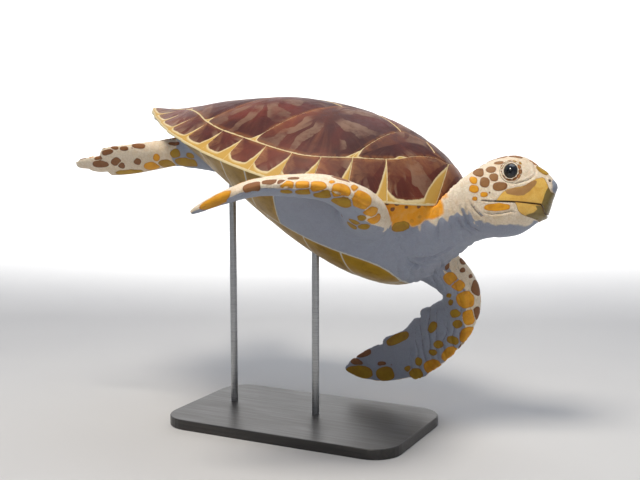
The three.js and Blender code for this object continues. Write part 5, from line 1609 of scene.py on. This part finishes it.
# painted shade on the front flippers' faces turned from the light; the hind flippers' blades keep none of it
for name, L in limb.items():
    i_, w_, c_, n_, k_ = limb_points(name, V, 0.1, 14.0)
    if name.startswith("flipper_front"):
        a = np.degrees(np.arctan2(n_ / L.ht[k_], c_ / L.hc[k_])) % 360
        off = ((360 - a) if name.endswith("right") else (a - 180)) % 360
        off = off + 14 * fbm(V[i_] / 26.0, 3, 79)
        first = 16 + 42 * smooth(0.52, 0.4, w_) - (36 if name.endswith("right") else 0) * smooth(0.4, 0.3, w_)
        face = smooth(first - 6, first + 8, off) * smooth(215, 190, off)
        t = smooth(0.2, 0.3, w_)
        painted_shade[i_] = painted_shade[i_] * (1 - t) + face * t
    elif name.startswith("flipper_hind"):
        own = smooth(1.3, 1.14, np.hypot(c_ / (L.hc[k_] + 2), n_ / (L.ht[k_] + 2)))
        painted_shade[i_] *= 1 - own * smooth(0.3, 0.36, w_ + 0.03 * fbm(V[i_] / 26.0, 3, 79))
painted_shade = painted_shade * (1 - warm)
gran = 1 - 0.8 * lid
SKIN_V, SKIN_F = V, F
skin = piece("turtle_skin", V, outward(V, F), SKIN,
             ("trunk", "neck", "head", "flipper_front_right", "flipper_front_left", "flipper_hind_right", "flipper_hind_left", "tail"),
             points={"sedge": sedge, "warm": warm, "crease_shade": crease_shade, "spot": spot, "gran": gran, "dark": dark, "painted_shade": painted_shade}, colours={"scol": field.rgb})


# ------------------------------------------------------------ beak, eyes and claws
BROWN_BAND = [(14, 1.5), (32, 7.5), (45.5, 10.5), (59.4, 22), (68.2, 27), (72, 24.5), (69, 15), (60.4, 3.6), (49.6, -6.5), (38.7, -8.4), (17.9, -5.5)]
FLAMES = [[(-4, -21), (6, -6), (18, -4.5), (27.5, -5.1), (40, -9), (27.6, -15.5), (12.4, -21)], [(34, -22), (46.3, -24), (64.6, -25), (70.7, -30.2), (65.9, -36.5), (53.0, -42.4), (40, -44)]]
# outlines of the beak halves' fronts, where the olive tint and its painted shade go
SHADED_BEAK_FRONTS = [[(80, -22), (86.4, -1.7), (92.5, 17), (120, 8), (120, -60), (86, -40)], [(70, -24), (84, -22), (90, -36), (120, -40), (120, -90), (64, -62), (52, -46), (66, -38), (73, -31)]]


def beak_piece(name, outline, node, drop_z):
    rows = refine(head_rows(), 10)[10 * (len(NECK) - 1):]
    v, f = closed_rings(upright_rings(rows, 180))
    v = v + vertex_normals(v, f) * 1.15
    head = link(raw_mesh("t_head", v, f), "t_head")
    P = np.array(outline, float)
    on_mouth = np.array([any(abs(x - mx) + abs(z - mz) < 0.01 for mx, mz in MOUTH) for x, z in outline])
    P[on_mouth, 1] += drop_z
    P[on_mouth & (np.abs(P[:, 0] - 85) < 2.5), 0] += 0.7 * np.sign(drop_z)
    if (np.roll(P[:, 0], -1) * P[:, 1] - P[:, 0] * np.roll(P[:, 1], -1)).sum() > 0:
        P = P[::-1]
    bx, bz = from_head(P[:, 0], P[:, 1])
    n = len(P)
    pv = np.concatenate([np.c_[bx, np.full(n, -120.0), bz], np.c_[bx, np.full(n, 120.0), bz]])
    i = np.arange(n)
    j = (i + 1) % n
    sides = np.stack([i, j, j + n, i + n], -1)
    me = bpy.data.meshes.new("t_cut")
    me.from_pydata(pv.tolist(), [], [list(map(int, q)) for q in sides] + [list(range(n))[::-1], list(range(n, 2 * n))])
    me.update()
    cut = link(me, "t_cut")
    bm = bmesh.new()
    bm.from_mesh(me)
    bmesh.ops.recalc_face_normals(bm, faces=bm.faces)
    bm.to_mesh(me)
    bm.free()
    m = head.modifiers.new("cut", "BOOLEAN")
    m.operation, m.object, m.solver = "INTERSECT", cut, "EXACT"
    r = head.modifiers.new("even", "REMESH")
    r.mode, r.voxel_size, r.adaptivity = "VOXEL", (0.95), 0.0
    t = evaluated(head)
    drop(head, cut)
    v, e, f = mesh_arrays(t)
    bpy.data.meshes.remove(t)
    v, e, f = loose_parts_out(v, e, f)
    mesh = Net(e, len(v))
    v = mesh.taubin(v, 5)
    h = to_head(v)
    into = signed_poly(h[:, 0], h[:, 2], [tuple(q) for q in P])
    nrm = vertex_normals(v, f)
    skinward = smooth(0.3, 0.9, np.abs((nrm * head_dir([0.0, 1.0, 0.0])).sum(1)) + smooth(70, 95, h[:, 0]))
    grain = noise3(np.c_[h[:, 0] / 26.0, h[:, 1] / 7.0, h[:, 2] / 7.0], 3)
    v = v + nrm * (skinward * (0.22 * grain + 0.4 * smooth(2.0, 9.0, into) - 0.35))[:, None]
    v = v + drawn_in(h)
    s_of_poly = lambda poly: np.clip(0.5 + signed_poly(h[:, 0], h[:, 2], poly) / 5.5, 0, 1)
    pts = {"band": s_of_poly(BROWN_BAND), "flame": np.maximum(s_of_poly(FLAMES[0]), s_of_poly(FLAMES[1])),
           "front": np.maximum(s_of_poly(SHADED_BEAK_FRONTS[0]) if drop_z > 0 else 0 * h[:, 0], s_of_poly(SHADED_BEAK_FRONTS[1]) if drop_z < 0 else 0 * h[:, 0]), "rim": np.clip(into, 0, 50)}
    return piece(name, v, outward(v, f), BEAK, [node], points=pts, colours={"grow": h})


beak_piece("beak_upper_horn", BEAK_UP, "beak_upper", 1.15)
beak_piece("beak_lower_horn", BEAK_LOW, "beak_lower", -1.15)


def eye_piece(name, sg, node):
    c, axis, fwd, up = eye_frame(sg)
    rows, n, R = 64, 96, EYE["r"]
    rings = []
    for k in range(1, rows):
        th = math.pi * k / rows
        r = R * math.sin(th)
        lift = 1.1 * math.exp(-(th / 0.5) ** 2)          # the cornea stands out a little
        a = 2 * math.pi * np.arange(n) / n
        rings.append(c + axis * (R * math.cos(th) + lift) + r * (0.96 * fwd * np.cos(a)[:, None] + 1.09 * up * np.sin(a)[:, None]))
    rings = np.array(rings)
    v = np.concatenate([rings.reshape(-1, 3), [c + axis * (R + 1.1), c - axis * R]])
    f = outward(v, rings_faces(len(rings), n, len(v) - 2, len(v) - 1))
    d = v - c
    x, y = d @ fwd, d @ up
    rad = np.where(d @ axis > 0, np.hypot(x, y), 60.0)
    ang = np.arctan2(y, x)
    return piece(name, v, f, EYE_MAT, [node], points={"radial": rad}, colours={"spoke": np.c_[np.cos(ang), np.sin(ang), rad / 20.0]})


eye_piece("eye_left_ball", 1, "eye_left")
eye_piece("eye_right_ball", -1, "eye_right")


def claw(name, base, way, bend, length, radius):
    """a curved, slightly flattened cone with its root in the skin"""
    way, bend = unit(way), unit(bend)
    side = unit(np.cross(way, bend))
    rings = []
    for k in range(20):
        t = k / 19
        p = np.asarray(base) + way * (length * t * (1 - 0.12 * t)) + bend * (length * 0.3 * t * t)
        r = radius * (1 - t ** 1.6) ** 0.8 + 0.25
        along = unit(way * (1 - 0.24 * t) + bend * 0.6 * t)
        b2 = np.cross(side, along)
        a = 2 * math.pi * np.arange(22) / 22
        wob = 1 + 0.03 * np.sin(5 * t * math.pi * 2 + a)
        rings.append(p + (side[None] * (r * 0.72 * np.cos(a) * wob)[:, None] + b2[None] * (r * np.sin(a) * wob)[:, None]))
    v, f = closed_rings(np.array(rings))
    tip = np.r_[np.repeat(np.arange(20) / 19, 22), 0, 1]
    return piece(name, v, f, CLAW, points={"tip": tip})


for name, w, deg, length, radius in (("flipper_front_left", 0.5, 184, 15, 4.6), ("flipper_front_left", 0.64, 184, 11, 3.6), ("flipper_front_right", 0.53, 352, 15, 4.6), ("flipper_front_right", 0.66, 352, 11, 3.6),
                                     ("flipper_hind_left", 0.74, 4, 11, 3.8), ("flipper_hind_right", 0.74, 4, 11, 3.8)):
    L = limb[name]
    p, n, t = L.at(w, deg)
    sgn = 1 if deg < 90 or deg > 270 else -1
    table = dict(BLADE)[name][0 if sgn > 0 else 1]
    keep = np.interp(w, *np.array(table).T)
    i = min(int(np.interp(w, L.w, np.arange(len(L.w)))), len(L.w) - 1)
    p = L.p[i] + (p - L.p[i]) * keep
    claw(f"claw_{name[8:]}_{int(w * 100)}", p - n * 4.5, n * 0.55 + t * 0.85, t * 0.5 - n * 0.75, length, radius)
for name in ("flipper_hind_right", "flipper_hind_left"):
    L = limb[name]
    i = int(np.searchsorted(L.w, 0.955))
    claw(f"claw_{name[8:]}_tip", L.p[i] + L.c[i] * 4.0, L.t[i], L.c[i] * 0.6, 18 if name.endswith("right") else 14, 5.2)

# --------------------------------------------------------------------------- stand
stand_base_mat, stand_rod_mat = base_material("stained board"), rod_material("turned steel")
for node, mat in (("stand_base", stand_base_mat), ("stand_rod_front", stand_rod_mat), ("stand_rod_rear", stand_rod_mat)):
    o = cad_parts[node]
    o.data.materials.clear()
    o.data.materials.append(mat)

# ------------------------------------------------------------- floor, light, camera
def studio():
    s = Shade("studio floor")
    col = s.mix(s.step(s.noise(0.8, 3, 0.5), 0.3, 0.7), lin(214, 213, 211), lin(208, 207, 206))
    mat = s.done(col, 0.9, s.bump(s.noise(60.0, 4, 0.6), 0.05, 0.002))
    prof = [(0.0, 0.0)] + [(r, 0.0) for r in np.linspace(0.5, 5.0, 10)]
    prof += [(5.0 + 2.0 * math.sin(a), 2.0 - 2.0 * math.cos(a)) for a in np.linspace(0.1, math.pi / 2, 14)] + [(7.0, 5.0)]
    n = 72
    a = 2 * math.pi * np.arange(n) / n
    rings = np.array([[(r * math.cos(t), r * math.sin(t), z) for t in a] for r, z in prof[1:]])
    v = np.concatenate([rings.reshape(-1, 3), [[0, 0, 0]]])
    idx = np.arange(len(rings) * n).reshape(-1, n)
    q = np.stack([idx[:-1], idx[1:], np.roll(idx, -1, 1)[1:], np.roll(idx, -1, 1)[:-1]], -1).reshape(-1, 4)
    tri = np.stack([np.full(n, len(v) - 1), idx[0], np.roll(idx[0], -1)], -1)
    me = raw_mesh("studio_floor", v, [q, tri])
    me.polygons.foreach_set("use_smooth", np.ones(len(me.polygons), bool))
    me.materials.append(mat)
    o = link(me, "studio_floor")


def area(name, place, aim, size, power, colour):
    l = bpy.data.lights.new(name, "AREA")
    l.shape, l.size, l.size_y, l.energy, l.color = "RECTANGLE", size[0], size[1], power, colour
    o = bpy.data.objects.new(name, l)
    bpy.context.scene.collection.objects.link(o)
    o.location = place
    o.rotation_euler = (Vector(aim) - Vector(place)).to_track_quat("-Z", "Y").to_euler()


studio()
area("key", (0.15, -1.2, 3.0), (0.0, 0.0, 0.42), (0.9, 0.9), 68, (1.0, 0.94, 0.85))
area("top", (0.3, 1.2, 2.9), (0.0, 0.0, 0.45), (2.2, 1.6), 16, (0.93, 0.965, 1.0))
area("fill", (2.6, -1.9, 0.9), (0.1, 0.0, 0.42), (1.8, 1.8), 3, (0.86, 0.92, 1.0))
area("wall", (-1.3, 2.6, 3.2), (-3.0, 6.4, 0.9), (4.0, 1.6), 380, (1.0, 1.0, 1.0))
world = bpy.data.worlds.new("studio")
world.use_nodes = True
world.node_tree.nodes["Background"].inputs[0].default_value = (0.72, 0.81, 1.0, 1)
world.node_tree.nodes["Background"].inputs[1].default_value = 0.38
bpy.context.scene.world = world

VIEW_AT = (996.008, -2022.305, -198.359)
VIEW_X, VIEW_Y, VIEW_Z = (0.86750683, 0.37202364, 0.3301974), (-0.29777019, -0.14334399, 0.94381429), (0.39845304, -0.91708828, -0.01357434)
cam = bpy.data.cameras.new("camera")
cam.lens, cam.sensor_width, cam.sensor_fit = 57.414, 36.0, "HORIZONTAL"
cam.clip_start, cam.clip_end = 0.05, 50.0
camera = bpy.data.objects.new("camera", cam)
bpy.context.scene.collection.objects.link(camera)
axes = np.stack([TURN @ np.array(a) for a in (VIEW_X, VIEW_Y, VIEW_Z)], -1)
spot_ = to_world(np.array(VIEW_AT))
m = Matrix.Identity(4)
for i in range(3):
    for j in range(3):
        m[i][j] = float(axes[i, j])
    m[i][3] = float(spot_[i])
camera.matrix_world = m
bpy.context.scene.camera = camera
bpy.context.scene.view_settings.view_transform = "Standard"
bpy.context.scene.view_settings.look = "None"
